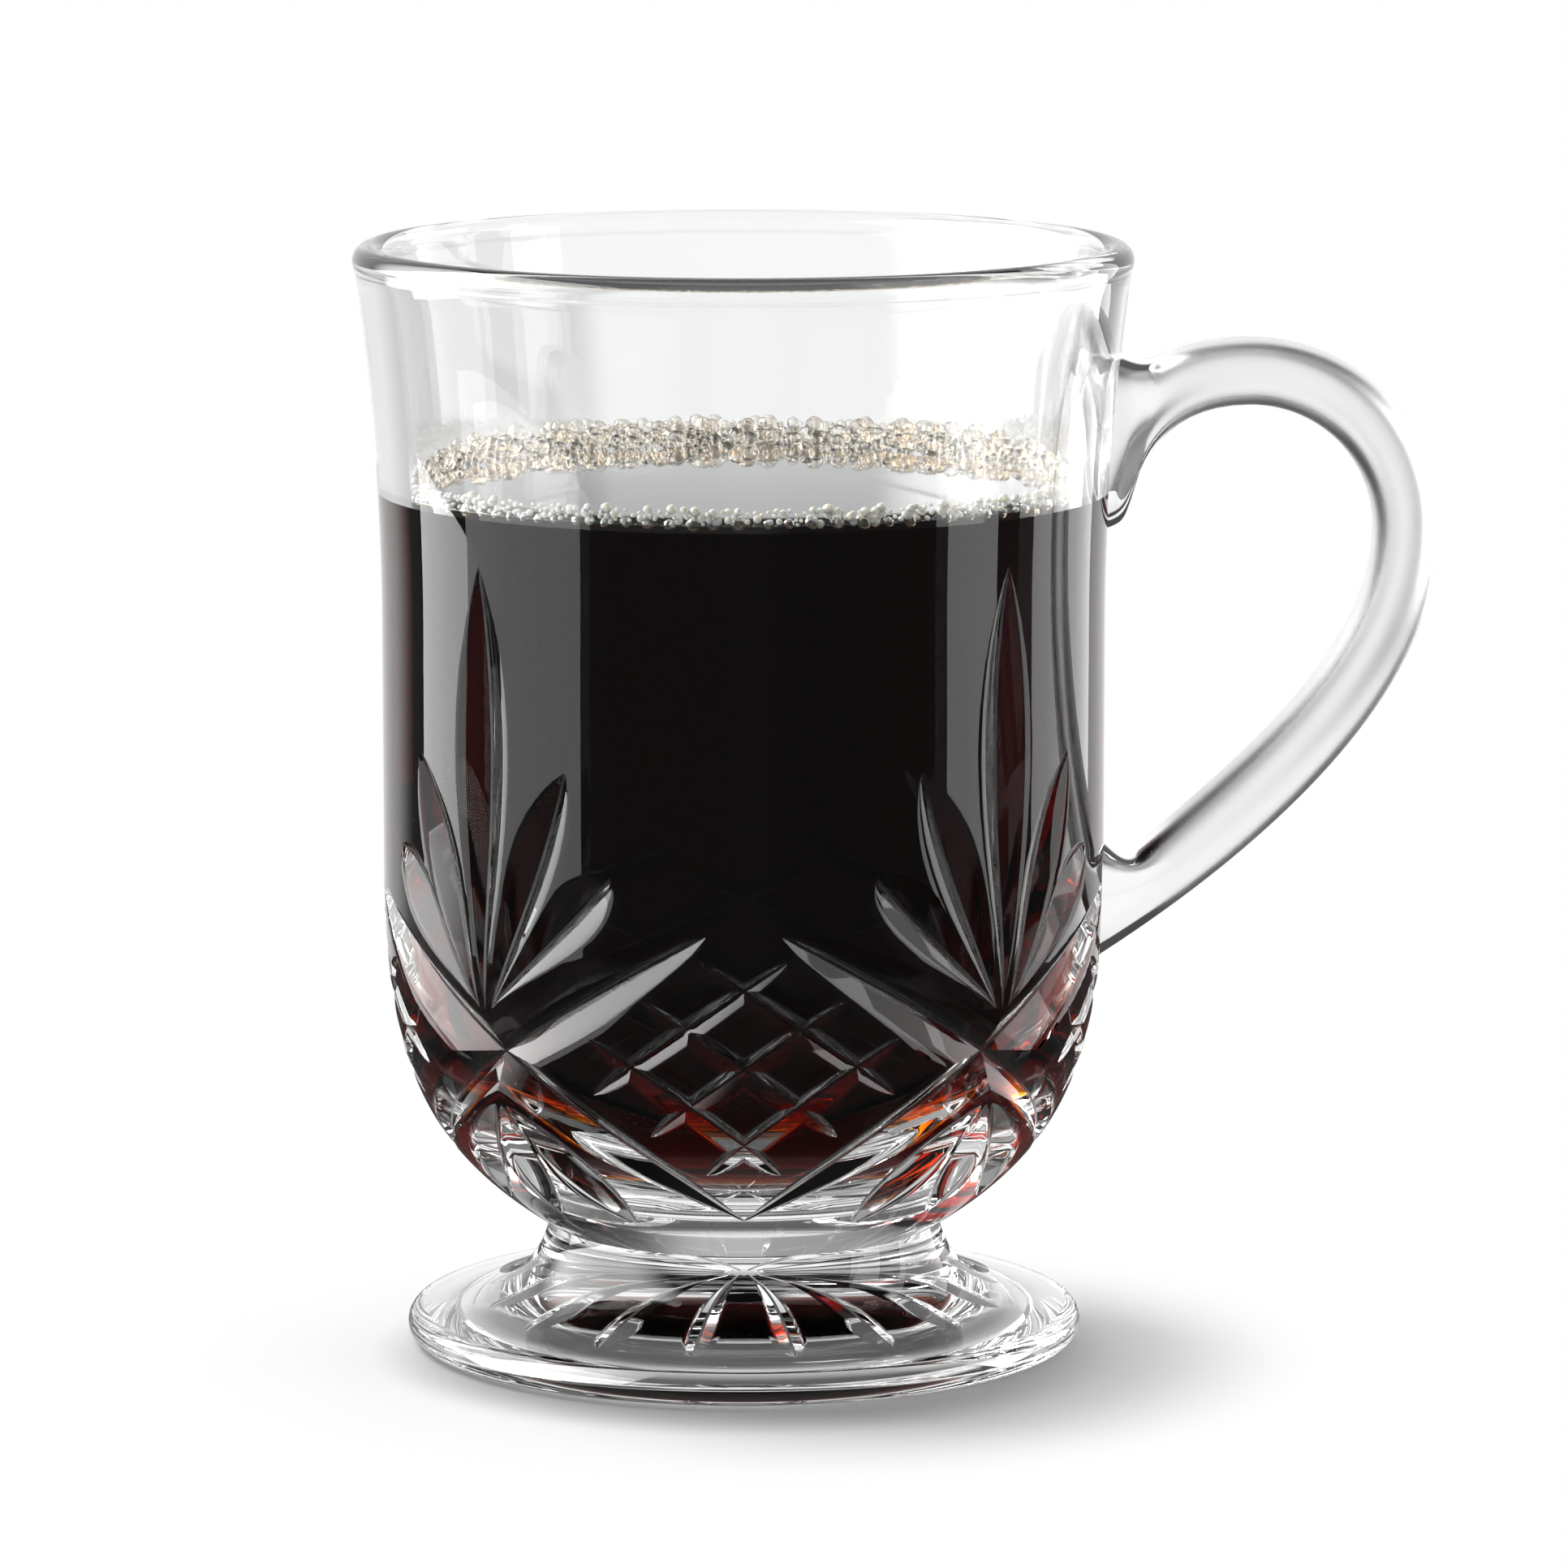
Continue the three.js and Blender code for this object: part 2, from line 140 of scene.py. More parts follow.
# How bright the studio and the table are: limits of a direction or a distance, and the levels at them
STUDIO_MIRRORED = ((0.62, 0.82), (0.1, 1.0))
STUDIO_THROUGH = (
    ("Y", (0.3, 0.9), (0.42, 1.0)), ("X", (0.085, 0.3), (1.0, 0.22)),
    ("X", (-0.055, -0.04), (0.75, 1.0)), ("Z", (-0.05, 0.35), (1.0, 0.45)),
)
STUDIO_AMBIENT = 0.3
TABLE_MIRRORED = ((0.036, 0.048), (0.4, 0.07))
# Painted shade under the foot, as glass sees the table: dark inside the hollow, white further out
TABLE_PAINTED_SHADE_THROUGH = ((0.025, 0.033), (0.12, 1.0))
# Painted contact shadow in the table's colour, darkest near where the mug's shadow falls, on top of the
# real shadow
TABLE_PAINTED_SHADOW = ((0.029, 0.04), (0.35, 0.9))
TABLE_MELT = ((0.034, 0.06), (0.15, 1.0))
TABLE_GLOW_THROUGH = 0.85
SHADOW_CENTRE = (0, -7 * MM, 0)
TABLE_DROP = 0.2 * MM


# Properties

def length(millimetres, description):
    """A size in metres, whose default is written in millimetres."""
    return bpy.props.FloatProperty(
        description=description, default=millimetres * MM, unit="LENGTH", precision=5
    )


def angle(degrees, description):
    """An angle, whose default is written in degrees."""
    return bpy.props.FloatProperty(
        description=description, default=math.radians(degrees), subtype="ANGLE"
    )


def share(value, description):
    """A plain factor."""
    return bpy.props.FloatProperty(
        description=description, default=value, subtype="FACTOR", precision=3
    )


def count(value, description):
    """A whole number of like things."""
    return bpy.props.IntProperty(description=description, default=value, min=1)


def colour(value, description):
    """A linear colour."""
    return bpy.props.FloatVectorProperty(
        description=description, default=value, size=3, subtype="COLOR", min=0, max=1
    )


class BowlSizes(bpy.types.PropertyGroup):
    """The bowl's glass, from the joint on the foot to the rim."""

    base: length(BOWL_LOW.z / MM, "Height of the joint between bowl and foot")
    height: length(BOWL_HIGH.z / MM, "Height of the rim above the table")
    rim_radius: length(BOWL_HIGH.y / MM, "Widest radius, at the rim")
    body_radius: length(37.2, "Outer radius of the straight wall")
    wall: length(3.4, "Thickness of the wall")
    flare_drop: length(40, "How far under the rim the wall starts to flare")
    bead_height: length(2.9, "Height of the fire-polished bead at the rim")
    bead_proud: length(0.14, "How far the bead stands out of the wall")
    belly_height: length(37.2, "Height of the rounded belly above the joint")
    belly_side_pull: length(20.5, "Pull of the belly's curve along the wall")
    belly_base_pull: length(15.2, "Pull of the belly's curve at the joint")
    belly_base_slope: angle(31.6, "Rise of the belly where it leaves the joint")
    joint_radius: length(20.2, "Radius where bowl and foot are fused")
    floor_thickness: length(8.1, "Glass under the drink")
    corner_rise: length(7.5, "Rise of the inner corner's curve")
    corner_inset: length(5.8, "Inset of the inner corner's curve")


def cut_kind(kind, words, half_width, widest, fullness, slope):
    """The settings that every kind of cut has."""
    return {
        kind + "_half_width": length(half_width, f"Half width of {words} at their widest"),
        kind + "_widest": share(widest, f"Where along their length {words} are widest"),
        kind + "_fullness": share(fullness, f"How full the ends of {words} are: lower is fuller"),
        kind + "_slope": share(slope, f"Depth of {words} for each unit of half width"),
    }


class CutSizes(bpy.types.PropertyGroup):
    """The cut pattern: heights above the bowl's base, angles from the middle of a panel or a fan."""

    panels: count(4, "Diamond panels round the bowl")
    shoulder: share(0.26, "Part of the half width over which a groove's edge is rounded")
    valley: length(0.16, "Half width of the ground line along a groove's bottom")
    lip: length(0.012, "How far a groove's shoulder runs out of the glass")
    overshoot: length(0.8, "How far a cutter stands out of the glass")
    steps: count(30, "Facets along one groove")
    arm_low_rise: length(5.3, "Height of the long arms' lower ends")
    arm_high_rise: length(36.0, "Height of the long arms' upper tips")
    arm_run: angle(84, "Run of a long arm round the bowl")
    lattice_rise: length(22.1, "Height of the middle of the diamonds")
    diamond_angle: angle(9.3, "Half a diamond's width round the bowl")
    diamond_rise: length(4.15, "Half a diamond's height")
    lattice_overrun: share(0.7, "Run of a lattice line past its last crossing")
    fan_focus_rise: length(27.0, "Height where the upper leaves meet")
    fan_spread: angle(1.4, "How far apart the leaves start")
    centre_tip_rise: length(71.6, "Height of the middle leaf's tip")
    middle_tip_rise: length(51.8, "Height of the second leaves' tips")
    middle_tip_angle: angle(16.5, "Lean of the second leaves")
    outer_tip_rise: length(41.5, "Height of the third leaves' tips")
    outer_tip_angle: angle(24, "Lean of the third leaves")
    base_focus_rise: length(16.6, "Height where the lower leaves meet")
    base_tip_rise: length(4.4, "Height of the lower leaves' tips")
    base_tip_angle: angle(20.5, "Lean of the lower leaves")


for kind_settings in (
    cut_kind("arm", "the long arms", 3.3, 0.62, 0.6, 0.7),
    cut_kind("lattice", "the lattice lines", 1.45, 0.5, 0.5, 0.8),
    cut_kind("centre", "the middle leaves", 3.3, 0.58, 0.85, 0.5),
    cut_kind("middle", "the second leaves", 2.7, 0.6, 0.75, 0.53),
    cut_kind("outer", "the third leaves", 2.6, 0.72, 0.55, 0.62),
    cut_kind("base", "the lower leaves", 2.4, 0.55, 0.6, 0.75),
):
    CutSizes.__annotations__.update(kind_settings)


class FootSizes(bpy.types.PropertyGroup):
    """The round foot and the star under it."""

    radius: length(FOOT_HIGH.y / MM, "Radius of the foot")
    edge_round: length(1.7, "Rounding of the foot's edge")
    top_pull: length(8.8, "Pull of the foot's sweep at its edge")
    top_rise: length(0.8, "Rise of the foot's sweep at its edge")
    neck_pull: length(5.4, "Pull of the foot's sweep at the neck")
    neck_flare: length(1.2, "Flare of the foot's sweep at the neck")
    hollow_rise: length(5.6, "Height of the hollow under the foot, at its middle")
    hollow_edge: length(0.6, "Height of the hollow under the foot, at its edge")
    hollow_radius: length(29, "Radius of the hollow under the foot")
    hollow_wall: length(0.6, "Run of the slope from the hollow's edge to the table")
    rays: count(16, "Rays of the star")
    star_inner: length(1.5, "Radius where the rays start")
    star_outer: length(26.4, "Radius where the rays end")
    star_half_width: length(1.5, "Half width of a ray")
    star_widest: share(0.8, "Where a ray is widest")
    star_fullness: share(0.45, "How full a ray's ends are: lower is fuller")
    star_slope: share(0.6, "Depth of a ray for each unit of half width")


class HandleSizes(bpy.types.PropertyGroup):
    """The looped handle."""

    reach: length(HANDLE_HIGH.x / MM, "How far the loop reaches from the axis")
    top: length(HANDLE_HIGH.z / MM, "Height of the loop's top")
    standoff: length(14.8, "Centre of the upper bend, out from the wall")
    thickness: length(6.8, "Thickness of the loop, seen from the front")
    width: length(9.2, "Width of the loop across the mug")
    root_flare: length(0.7, "Extra half width where the loop meets the wall")
    outer_fullness: share(3.6, "Squareness of the section's outer half")
    inner_fullness: share(2.5, "Squareness of the section's inner half")
    seat: length(0.05, "How deep the handle is let into the wall")


class DrinkSizes(bpy.types.PropertyGroup):
    """The coffee and its froth."""

    level: length(COFFEE_HIGH.z / MM, "Height of the coffee")
    film: length(0.02, "Gap between the coffee and the glass")
    dip: length(0.8, "How far the froth presses the coffee down at the wall")
    dip_reach: length(1.8, "How far from the wall the coffee is level again")
    bead_low: length(0.7, "How far the fine bubbles on the wall reach under the level")
    bead_high: length(0.8, "How far the fine bubbles on the wall climb over the level")
    bead_radius: length(0.6, "Radius of the largest fine bubble on the wall")
    bead_gap: length(0.47, "Least distance between fine bubbles on the wall")
    drop_low: length(1.2, "How far the large bubbles on the wall hang under the level")
    drop_radius: length(1.15, "Radius of the largest bubble on the wall")
    drop_gap: length(1.6, "Least distance between large bubbles on the wall")
    foam_width: length(5.5, "Width of the foam at the back")
    foam_height: length(1.5, "Height of the foam at the back")
    foam_radius: length(1.05, "Radius of the largest bubble in the foam")
    foam_gap: length(0.85, "Least distance between bubbles in the foam")
    seed: count(7, "Seed of the bubbles' places and sizes")


class Finishes(bpy.types.PropertyGroup):
    """Colours and finishes."""

    glass: colour((0.994, 0.998, 0.997), "Tint of the glass")
    coffee: colour((0.96, 0.9, 0.82), "Tint where light enters and leaves the coffee")
    coffee_body: colour((0.9, 0.72, 0.25), "Light that the coffee lets through")
    coffee_strength: bpy.props.FloatProperty(description="Density of the coffee's colour", default=1000)
    froth: colour((0.985, 0.955, 0.91), "Tint of the clear bubbles")
    cream: colour((0.95, 0.89, 0.78), "Colour of the fine bubbles on the wall")


class StageSizes(bpy.types.PropertyGroup):
    """Camera and table."""

    lens: bpy.props.FloatProperty(description="Focal length", default=186.34, subtype="DISTANCE_CAMERA")
    distance: length(838.5, "From the camera to the mug's axis")
    pitch: angle(9.0945, "How far the camera looks down")
    aim_height: length(57.9, "Height that the camera looks at")
    aim_aside: length(4.16, "How far beside the axis the camera looks")
    table_radius: length(200, "Radius of the white table top")


# Meshes

def new_piece(name, vertices, faces):
    """A mesh object at the origin, in the scene."""
    mesh = bpy.data.meshes.new(name)
    mesh.from_pydata([tuple(v) for v in vertices], [], faces)
    mesh.update()
    piece = bpy.data.objects.new(name, mesh)
    bpy.context.scene.collection.objects.link(piece)
    return piece


def discard(*objects):
    """Removes shaping tools and their meshes."""
    for tool in objects:
        mesh = tool.data
        bpy.data.objects.remove(tool)
        bpy.data.meshes.remove(mesh)


def bezier(start, start_pull, end_pull, end, steps):
    """Points of a flat cubic curve, both ends included."""
    knots = [Vector((*p, 0)) for p in (start, start_pull, end_pull, end)]
    return [(p.x, p.y) for p in interpolate_bezier(*knots, steps + 1)]


def arc(centre, radius, start, end, steps):
    """Points of a circular arc between two angles, both ends included."""
    angles = np.linspace(start, end, steps + 1)
    return [(centre[0] + radius * math.cos(a), centre[1] + radius * math.sin(a)) for a in angles]


def bands(rings, around):
    """Faces between neighbouring rings of equally many points."""
    faces = []
    for low in range(0, (rings - 1) * around, around):
        for j in range(around):
            k = (j + 1) % around
            faces.append((low + j, low + k, low + around + k, low + around + j))
    return faces


def turned(name, profile):
    """A closed solid turned about Z from (radius, height) points that start and end on the axis."""
    rings = profile[1:-1]
    angles = [2 * math.pi * j / TURN_SEGMENTS for j in range(TURN_SEGMENTS)]
    vertices = [(r * math.cos(a), r * math.sin(a), z) for r, z in rings for a in angles]
    first, last = len(vertices), len(vertices) + 1
    vertices += [(0, 0, profile[0][1]), (0, 0, profile[-1][1])]
    top = (len(rings) - 1) * TURN_SEGMENTS
    faces = bands(len(rings), TURN_SEGMENTS)
    for j in range(TURN_SEGMENTS):
        k = (j + 1) % TURN_SEGMENTS
        faces += [(first, k, j), (top + j, top + k, last)]
    return new_piece(name, vertices, faces)


def lofted(name, sections):
    """A closed solid through rings of equally many points, capped at both ends."""
    around = len(sections[0])
    end = (len(sections) - 1) * around
    caps = [tuple(reversed(range(around))), tuple(range(end, end + around))]
    vertices = [p for ring in sections for p in ring]
    return new_piece(name, vertices, [*caps, *bands(len(sections), around)])


class Profile:
    """A turned outline that gives its own smooth normal near any point."""

    CREASE = math.cos(math.radians(35))
    ROWS_AT_ONCE = 20000

    def __init__(self, points):
        self.points = np.array(points)
        self.along = np.diff(self.points, axis=0)
        sizes = np.linalg.norm(self.along, axis=1, keepdims=True)
        flat = np.stack([self.along[:, 1], -self.along[:, 0]], 1) / sizes
        joint = flat[:-1] + flat[1:]
        joint /= np.linalg.norm(joint, axis=1, keepdims=True)
        creased = (flat[:-1] * flat[1:]).sum(1) < self.CREASE
        self.start = flat.copy()
        self.end = flat.copy()
        self.start[1:][~creased] = joint[~creased]
        self.end[:-1][~creased] = joint[~creased]

    def nearest(self, spots):
        """Signed distance and normal, for (radius, height) rows."""
        gaps = np.empty(len(spots))
        normals = np.empty((len(spots), 2))
        for low in range(0, len(spots), self.ROWS_AT_ONCE):
            rows = spots[low:low + self.ROWS_AT_ONCE]
            offset = rows[:, None] - self.points[None, :-1]
            t = (offset * self.along).sum(2) / (self.along ** 2).sum(1)
            t = np.clip(t, 0, 1)
            away = offset - t[..., None] * self.along
            best = (away ** 2).sum(2).argmin(1)
            pick = np.arange(len(rows))
            part = t[pick, best][:, None]
            normal = self.start[best] * (1 - part) + self.end[best] * part
            normal /= np.linalg.norm(normal, axis=1, keepdims=True)
            normals[low:low + len(rows)] = normal
            gaps[low:low + len(rows)] = (away[pick, best] * normal).sum(1)
        return gaps, normals

    def at(self, points):
        """Signed distance and normal in space, for (x, y, z) rows."""
        radius = np.hypot(points[:, 0], points[:, 1])
        gaps, flat = self.nearest(np.stack([radius, points[:, 2]], 1))
        outward = points[:, :2] / np.maximum(radius, TINY)[:, None]
        return gaps, np.concatenate([outward * flat[:, :1], flat[:, 1:]], 1)


def read(items, name, width):
    """A mesh attribute as rows."""
    values = np.empty(len(items) * width, np.float32)
    items.foreach_get(name, values)
    return values.reshape(-1, width).astype(float)


def smooth_turned(mesh, profile, crease, match):
    """Smooths a cut solid: facets keep their creases, and turned faces get the outline's normals."""
    mesh.shade_smooth()
    mesh.set_sharp_from_angle(angle=crease)
    points = read(mesh.vertices, "co", 3)
    corners = np.empty(len(mesh.loops), np.int32)
    mesh.loops.foreach_get("vertex_index", corners)
    totals = np.empty(len(mesh.polygons), np.int32)
    mesh.polygons.foreach_get("loop_total", totals)
    owner = np.repeat(np.arange(len(totals)), totals)
    centres = read(mesh.polygons, "center", 3)
    flat = read(mesh.polygons, "normal", 3)
    normals = read(mesh.corner_normals, "vector", 3)
    _, ideal = profile.at(centres)
    is_turned = ((flat * ideal).sum(1) > math.cos(match))[owner]
    pulled = points[corners] * (1 - PULL_IN) + centres[owner] * PULL_IN
    _, smooth = profile.at(pulled[is_turned])
    normals[is_turned] = smooth
    mesh.normals_split_custom_set([tuple(n) for n in normals])
    return centres, flat, ideal


# Node trees

def add(tree, kind, inputs=None, **settings):
    """A new node, with its settings, and its inputs as values or links."""
    made = tree.nodes.new(kind)
    for key, value in settings.items():
        setattr(made, key, value)
    for key, value in (inputs or {}).items():
        if isinstance(value, bpy.types.NodeSocket):
            tree.links.new(value, made.inputs[key])
        else:
            made.inputs[key].default_value = value
    return made


def new_shape_tree(name, inputs):
    """An empty geometry tree with named inputs, given as (name, kind of socket)."""
    tree = bpy.data.node_groups.new(name, "GeometryNodeTree")
    for label, kind in [("Geometry", "Geometry"), *inputs]:
        tree.interface.new_socket(label, in_out="INPUT", socket_type="NodeSocket" + kind)
    tree.interface.new_socket("Geometry", in_out="OUTPUT", socket_type="NodeSocketGeometry")
    return tree, tree.nodes.new("NodeGroupInput").outputs


def close_shape_tree(tree, shape, material):
    """Ends a geometry tree in plain faces that carry a material."""
    real = add(tree, "GeometryNodeRealizeInstances", {"Geometry": shape})
    dressed = add(tree, "GeometryNodeSetMaterial", {"Geometry": real.outputs[0], "Material": material})
    add(tree, "NodeGroupOutput", {"Geometry": dressed.outputs[0]})


def grow(piece, tree, **values):
    """Runs a geometry tree on a piece and keeps the result as its plain mesh."""
    modifier = piece.modifiers.new(tree.name, "NODES")
    modifier.node_group = tree
    for item in tree.interface.items_tree:
        label = item.name.replace(" ", "_").lower()
        if item.in_out == "INPUT" and label in values:
            modifier[item.identifier] = values[label]
    depsgraph = bpy.context.evaluated_depsgraph_get()
    evaluated = piece.evaluated_get(depsgraph)
    made = bpy.data.meshes.new_from_object(evaluated, depsgraph=depsgraph)
    piece.modifiers.remove(modifier)
    blank = piece.data
    made.name = piece.name
    piece.data = made
    bpy.data.meshes.remove(blank)
    if not made.polygons:
        raise RuntimeError(f"{piece.name} came out empty")
    return piece


def boolean(tree, operation, first, *others):
    """A solid cut by, joined to or shared with others."""
    made = add(tree, "GeometryNodeMeshBoolean", operation=operation, solver="MANIFOLD")
    slots = made.inputs
    if operation == "DIFFERENCE":
        tree.links.new(first, slots["Mesh 1"])
    else:
        others = (first, *others)
    for other in others:
        tree.links.new(other, slots["Mesh 2"])
    return made.outputs["Mesh"]


def maths(tree, operation, first, second):
    """The result of an operation on two values."""
    return add(tree, "ShaderNodeMath", {0: first, 1: second}, operation=operation).outputs[0]


def fade(tree, value, limits, levels):
    """A soft step of a value between two levels."""
    return add(tree, "ShaderNodeMapRange", {
        "Value": value, "From Min": limits[0], "From Max": limits[1],
        "To Min": levels[0], "To Max": levels[1],
    }, interpolation_type="SMOOTHSTEP").outputs["Result"]


def choose(tree, which, off, on):
    """One of two levels, by a switch that is 0 or 1."""
    return add(tree, "ShaderNodeMix", {"Factor": which, 2: off, 3: on}, data_type="FLOAT").outputs[0]


def ring_of(tree, shape, number):
    """Copies of a shape turned evenly about Z, as separate solids for a boolean."""
    points = add(tree, "GeometryNodeMeshLine", {"Count": number, "Offset": (0, 0, 0)})
    index = add(tree, "GeometryNodeInputIndex")
    part = maths(tree, "DIVIDE", index.outputs[0], number)
    spin = add(tree, "ShaderNodeCombineXYZ", {"Z": maths(tree, "MULTIPLY", part, 2 * math.pi)})
    copies = add(tree, "GeometryNodeInstanceOnPoints", {
        "Points": points.outputs[0], "Instance": shape, "Rotation": spin.outputs[0],
    })
    real = add(tree, "GeometryNodeRealizeInstances", {"Geometry": copies.outputs[0]})
    island = add(tree, "GeometryNodeInputMeshIsland")
    apart = add(tree, "GeometryNodeSplitToInstances", {
        "Geometry": real.outputs[0], "Group ID": island.outputs["Island Index"],
    }, domain="FACE")
    return apart.outputs["Instances"]


def object_shape(tree, source):
    """The mesh of an object that is an input of the tree."""
    return add(tree, "GeometryNodeObjectInfo", {"Object": source}).outputs["Geometry"]


# Materials

def new_material(name):
    """An empty material and its shader output."""
    material = bpy.data.materials.new(name)
    material.use_nodes = True
    tree = material.node_tree
    tree.nodes.clear()
    return material, tree, tree.nodes.new("ShaderNodeOutputMaterial")


def noise(tree, scale, detail=2.0):
    """Even noise through the piece."""
    place = add(tree, "ShaderNodeTexCoord")
    return add(tree, "ShaderNodeTexNoise", {
        "Vector": place.outputs["Object"], "Scale": scale, "Detail": detail,
    }).outputs["Fac"]


def spread(tree, value, low, high):
    """A noise value stretched between two levels."""
    return add(tree, "ShaderNodeMapRange", {
        "Value": value, "From Min": NOISE_LOW, "From Max": NOISE_HIGH, "To Min": low, "To Max": high,
    }).outputs["Result"]


def new_finish(name, tint, grain, roughness, inputs):
    """A material of one shader, whose roughness wanders in grains between two levels."""
    material, tree, output = new_material(name)
    shader = add(tree, "ShaderNodeBsdfPrincipled", {
        "Base Color": (*tint, 1), "Roughness": spread(tree, noise(tree, grain), *roughness), **inputs,
    })
    tree.links.new(shader.outputs[0], output.inputs["Surface"])
    return material, tree, shader, output


def glass_finish(name, tint, ior, roughness=POLISHED, clear_to=None):
    """Fire-polished pressed glass: clear, faintly wavy, with traces of handling.

    clear_to is a distance along X from the axis, within which rougher glass is clear.
    """
    clear = {"Transmission Weight": 1.0, "IOR": ior}
    material, tree, shader, _ = new_finish(name, tint, HANDLING_GRAIN, roughness, clear)
    if clear_to:
        place = add(tree, "ShaderNodeTexCoord")
        axes = add(tree, "ShaderNodeSeparateXYZ", {0: place.outputs["Object"]})
        satin = fade(tree, axes.outputs["X"], (clear_to, clear_to + FUSED_RUN), (FUSED_PART, 1.0))
        rough = shader.inputs["Roughness"].links[0].from_socket
        tree.links.new(maths(tree, "MULTIPLY", rough, satin), shader.inputs["Roughness"])
    waves = add(tree, "ShaderNodeBump", {
        "Height": noise(tree, WAVE_GRAIN, 1.0), "Strength": 1.0, "Distance": WAVE_HEIGHT,
    })
    tree.links.new(waves.outputs[0], shader.inputs["Normal"])
    return material


def coffee_finish(name, finishes, ior, film):
    """Black coffee: red-brown where it is thin, nearly black where deep, with an oily film on top."""
    material, tree, _, output = new_finish(name, finishes.coffee, COFFEE_GRAIN, STILL, {
        "Transmission Weight": 1.0, "IOR": ior, "Coat Weight": film, "Coat IOR": FILM_IOR,
    })
    body = add(tree, "ShaderNodeVolumeAbsorption", {
        "Color": (*finishes.coffee_body, 1), "Density": finishes.coffee_strength,
    })
    tree.links.new(body.outputs[0], output.inputs["Volume"])
    return material


def froth_finish(name, tint, ior):
    """Wet bubbles that light passes through."""
    return new_finish(name, tint, BUBBLE_GRAIN, WET, {
        "Transmission Weight": 1.0, "IOR": ior, "Coat Weight": 1.0,
    })[0]


def cream_finish(name, tint):
    """Fine bubbles packed so close that light wanders through them."""
    return new_finish(name, tint, BUBBLE_GRAIN, CREAMY, {
        "Subsurface Weight": 1.0, "Subsurface Radius": WANDER_BY_COLOUR, "Subsurface Scale": LIGHT_WANDER,
        "Coat Weight": 1.0,
    })[0]


def add_slot(mesh, material, chosen):
    """Gives the chosen faces another material."""
    mesh.materials.append(material)
    slots = np.empty(len(mesh.polygons), np.int32)
    mesh.polygons.foreach_get("material_index", slots)
    slots[chosen] = len(mesh.materials) - 1
    mesh.polygons.foreach_set("material_index", slots)


def named_glass(name, ior, **finish):
    """One of the glass materials, made when it is first asked for."""
    found = bpy.data.materials.get(name)
    return found or glass_finish(name, bpy.context.scene.mug_finishes.glass, ior, **finish)


def clear_glass():
    """Glass against air."""
    return named_glass("clear_glass", GLASS_IOR)


def fused_glass():
    """Glass against glass: light goes straight on where two pieces are fused."""
    return named_glass("fused_glass", 1.0)


def wetted_glass():
    """Glass against coffee."""
    return named_glass("wetted_glass", GLASS_IOR / COFFEE_IOR)


def ground_glass():
    """Glass left rough along the bottom of a cut."""
    return named_glass("ground_glass", GLASS_IOR, roughness=LEFT_ROUGH)


def satin_glass(bowl):
    """Glass of the handle: satin, and clear where it is fused to the wall."""
    return named_glass("satin_glass", GLASS_IOR, roughness=SATIN, clear_to=bowl.rim_radius)


# Outlines

def flare(bowl, z, top):
    """Radius of the bowl's outside above the belly."""
    start = bowl.height - bowl.flare_drop
    rise = max(0.0, z - start) / (top - start)
    bead = min(1.0, max(0.0, (z - (bowl.height - bowl.bead_height)) / (BEAD_SHOULDER * bowl.bead_height)))
    radius = bowl.body_radius + (bowl.rim_radius - bowl.body_radius) * rise ** 2
    return radius - bowl.bead_proud * rise * (1 - bead * bead * (3 - 2 * bead))


def belly_top(bowl):
    """Height where the straight wall starts."""
    return bowl.base + bowl.belly_height


def outer_outline(bowl):
    """The bowl's outside, from the joint to the rim's curve."""
    low = (bowl.joint_radius, bowl.base)
    high = (bowl.body_radius, belly_top(bowl))
    low_pull = (
        low[0] + bowl.belly_base_pull * math.cos(bowl.belly_base_slope),
        low[1] + bowl.belly_base_pull * math.sin(bowl.belly_base_slope),
    )
    belly = bezier(low, low_pull, (high[0], high[1] - bowl.belly_side_pull), high, BELLY_STEPS)
    top = bowl.height - bowl.wall / 2
    bead_foot = bowl.height - bowl.bead_height
    heights = [
        *np.linspace(high[1], bead_foot, FLARE_STEPS)[1:], *np.linspace(bead_foot, top, BEAD_STEPS)[1:],
    ]
    return [*belly, *((flare(bowl, z, top), z) for z in heights)]


def inner_outline(bowl, inset, top):
    """The bowl's inside moved inwards by an inset, from the axis up to a height."""
    radius = bowl.body_radius - bowl.wall - inset
    floor = bowl.base + bowl.floor_thickness + inset
    belly = bezier(
        (0, floor), (radius - bowl.corner_inset, floor), (radius, floor + bowl.corner_rise),
        (radius, belly_top(bowl)), FLOOR_STEPS,
    )
    rim_top = bowl.height - bowl.wall / 2
    heights = np.linspace(belly_top(bowl), top, WALL_STEPS)[1:]
    plain = bowl.body_radius - bowl.wall - inset
    start = bowl.height - bowl.flare_drop
    spread_out = bowl.rim_radius - bowl.body_radius
    side = [
        (plain + spread_out * (max(0.0, z - start) / (rim_top - start)) ** 2, z) for z in heights
    ]
    return [*belly, *side]


def bowl_outline(bowl):
    """The whole bowl, from the axis at the joint round the rim to the axis at the floor."""
    round_off = bowl.wall / 2
    top = bowl.height - round_off
    rim = arc((bowl.rim_radius - round_off, top), round_off, 0, math.pi, RIM_STEPS)[1:-1]
    inside = inner_outline(bowl, 0, top)
    return [(0, bowl.base), *outer_outline(bowl), *rim, *reversed(inside)]


def hollow_height(foot, radius):
    """Height of the domed hollow under the foot."""
    return foot.hollow_rise - (foot.hollow_rise - foot.hollow_edge) * (radius / foot.hollow_radius) ** 2


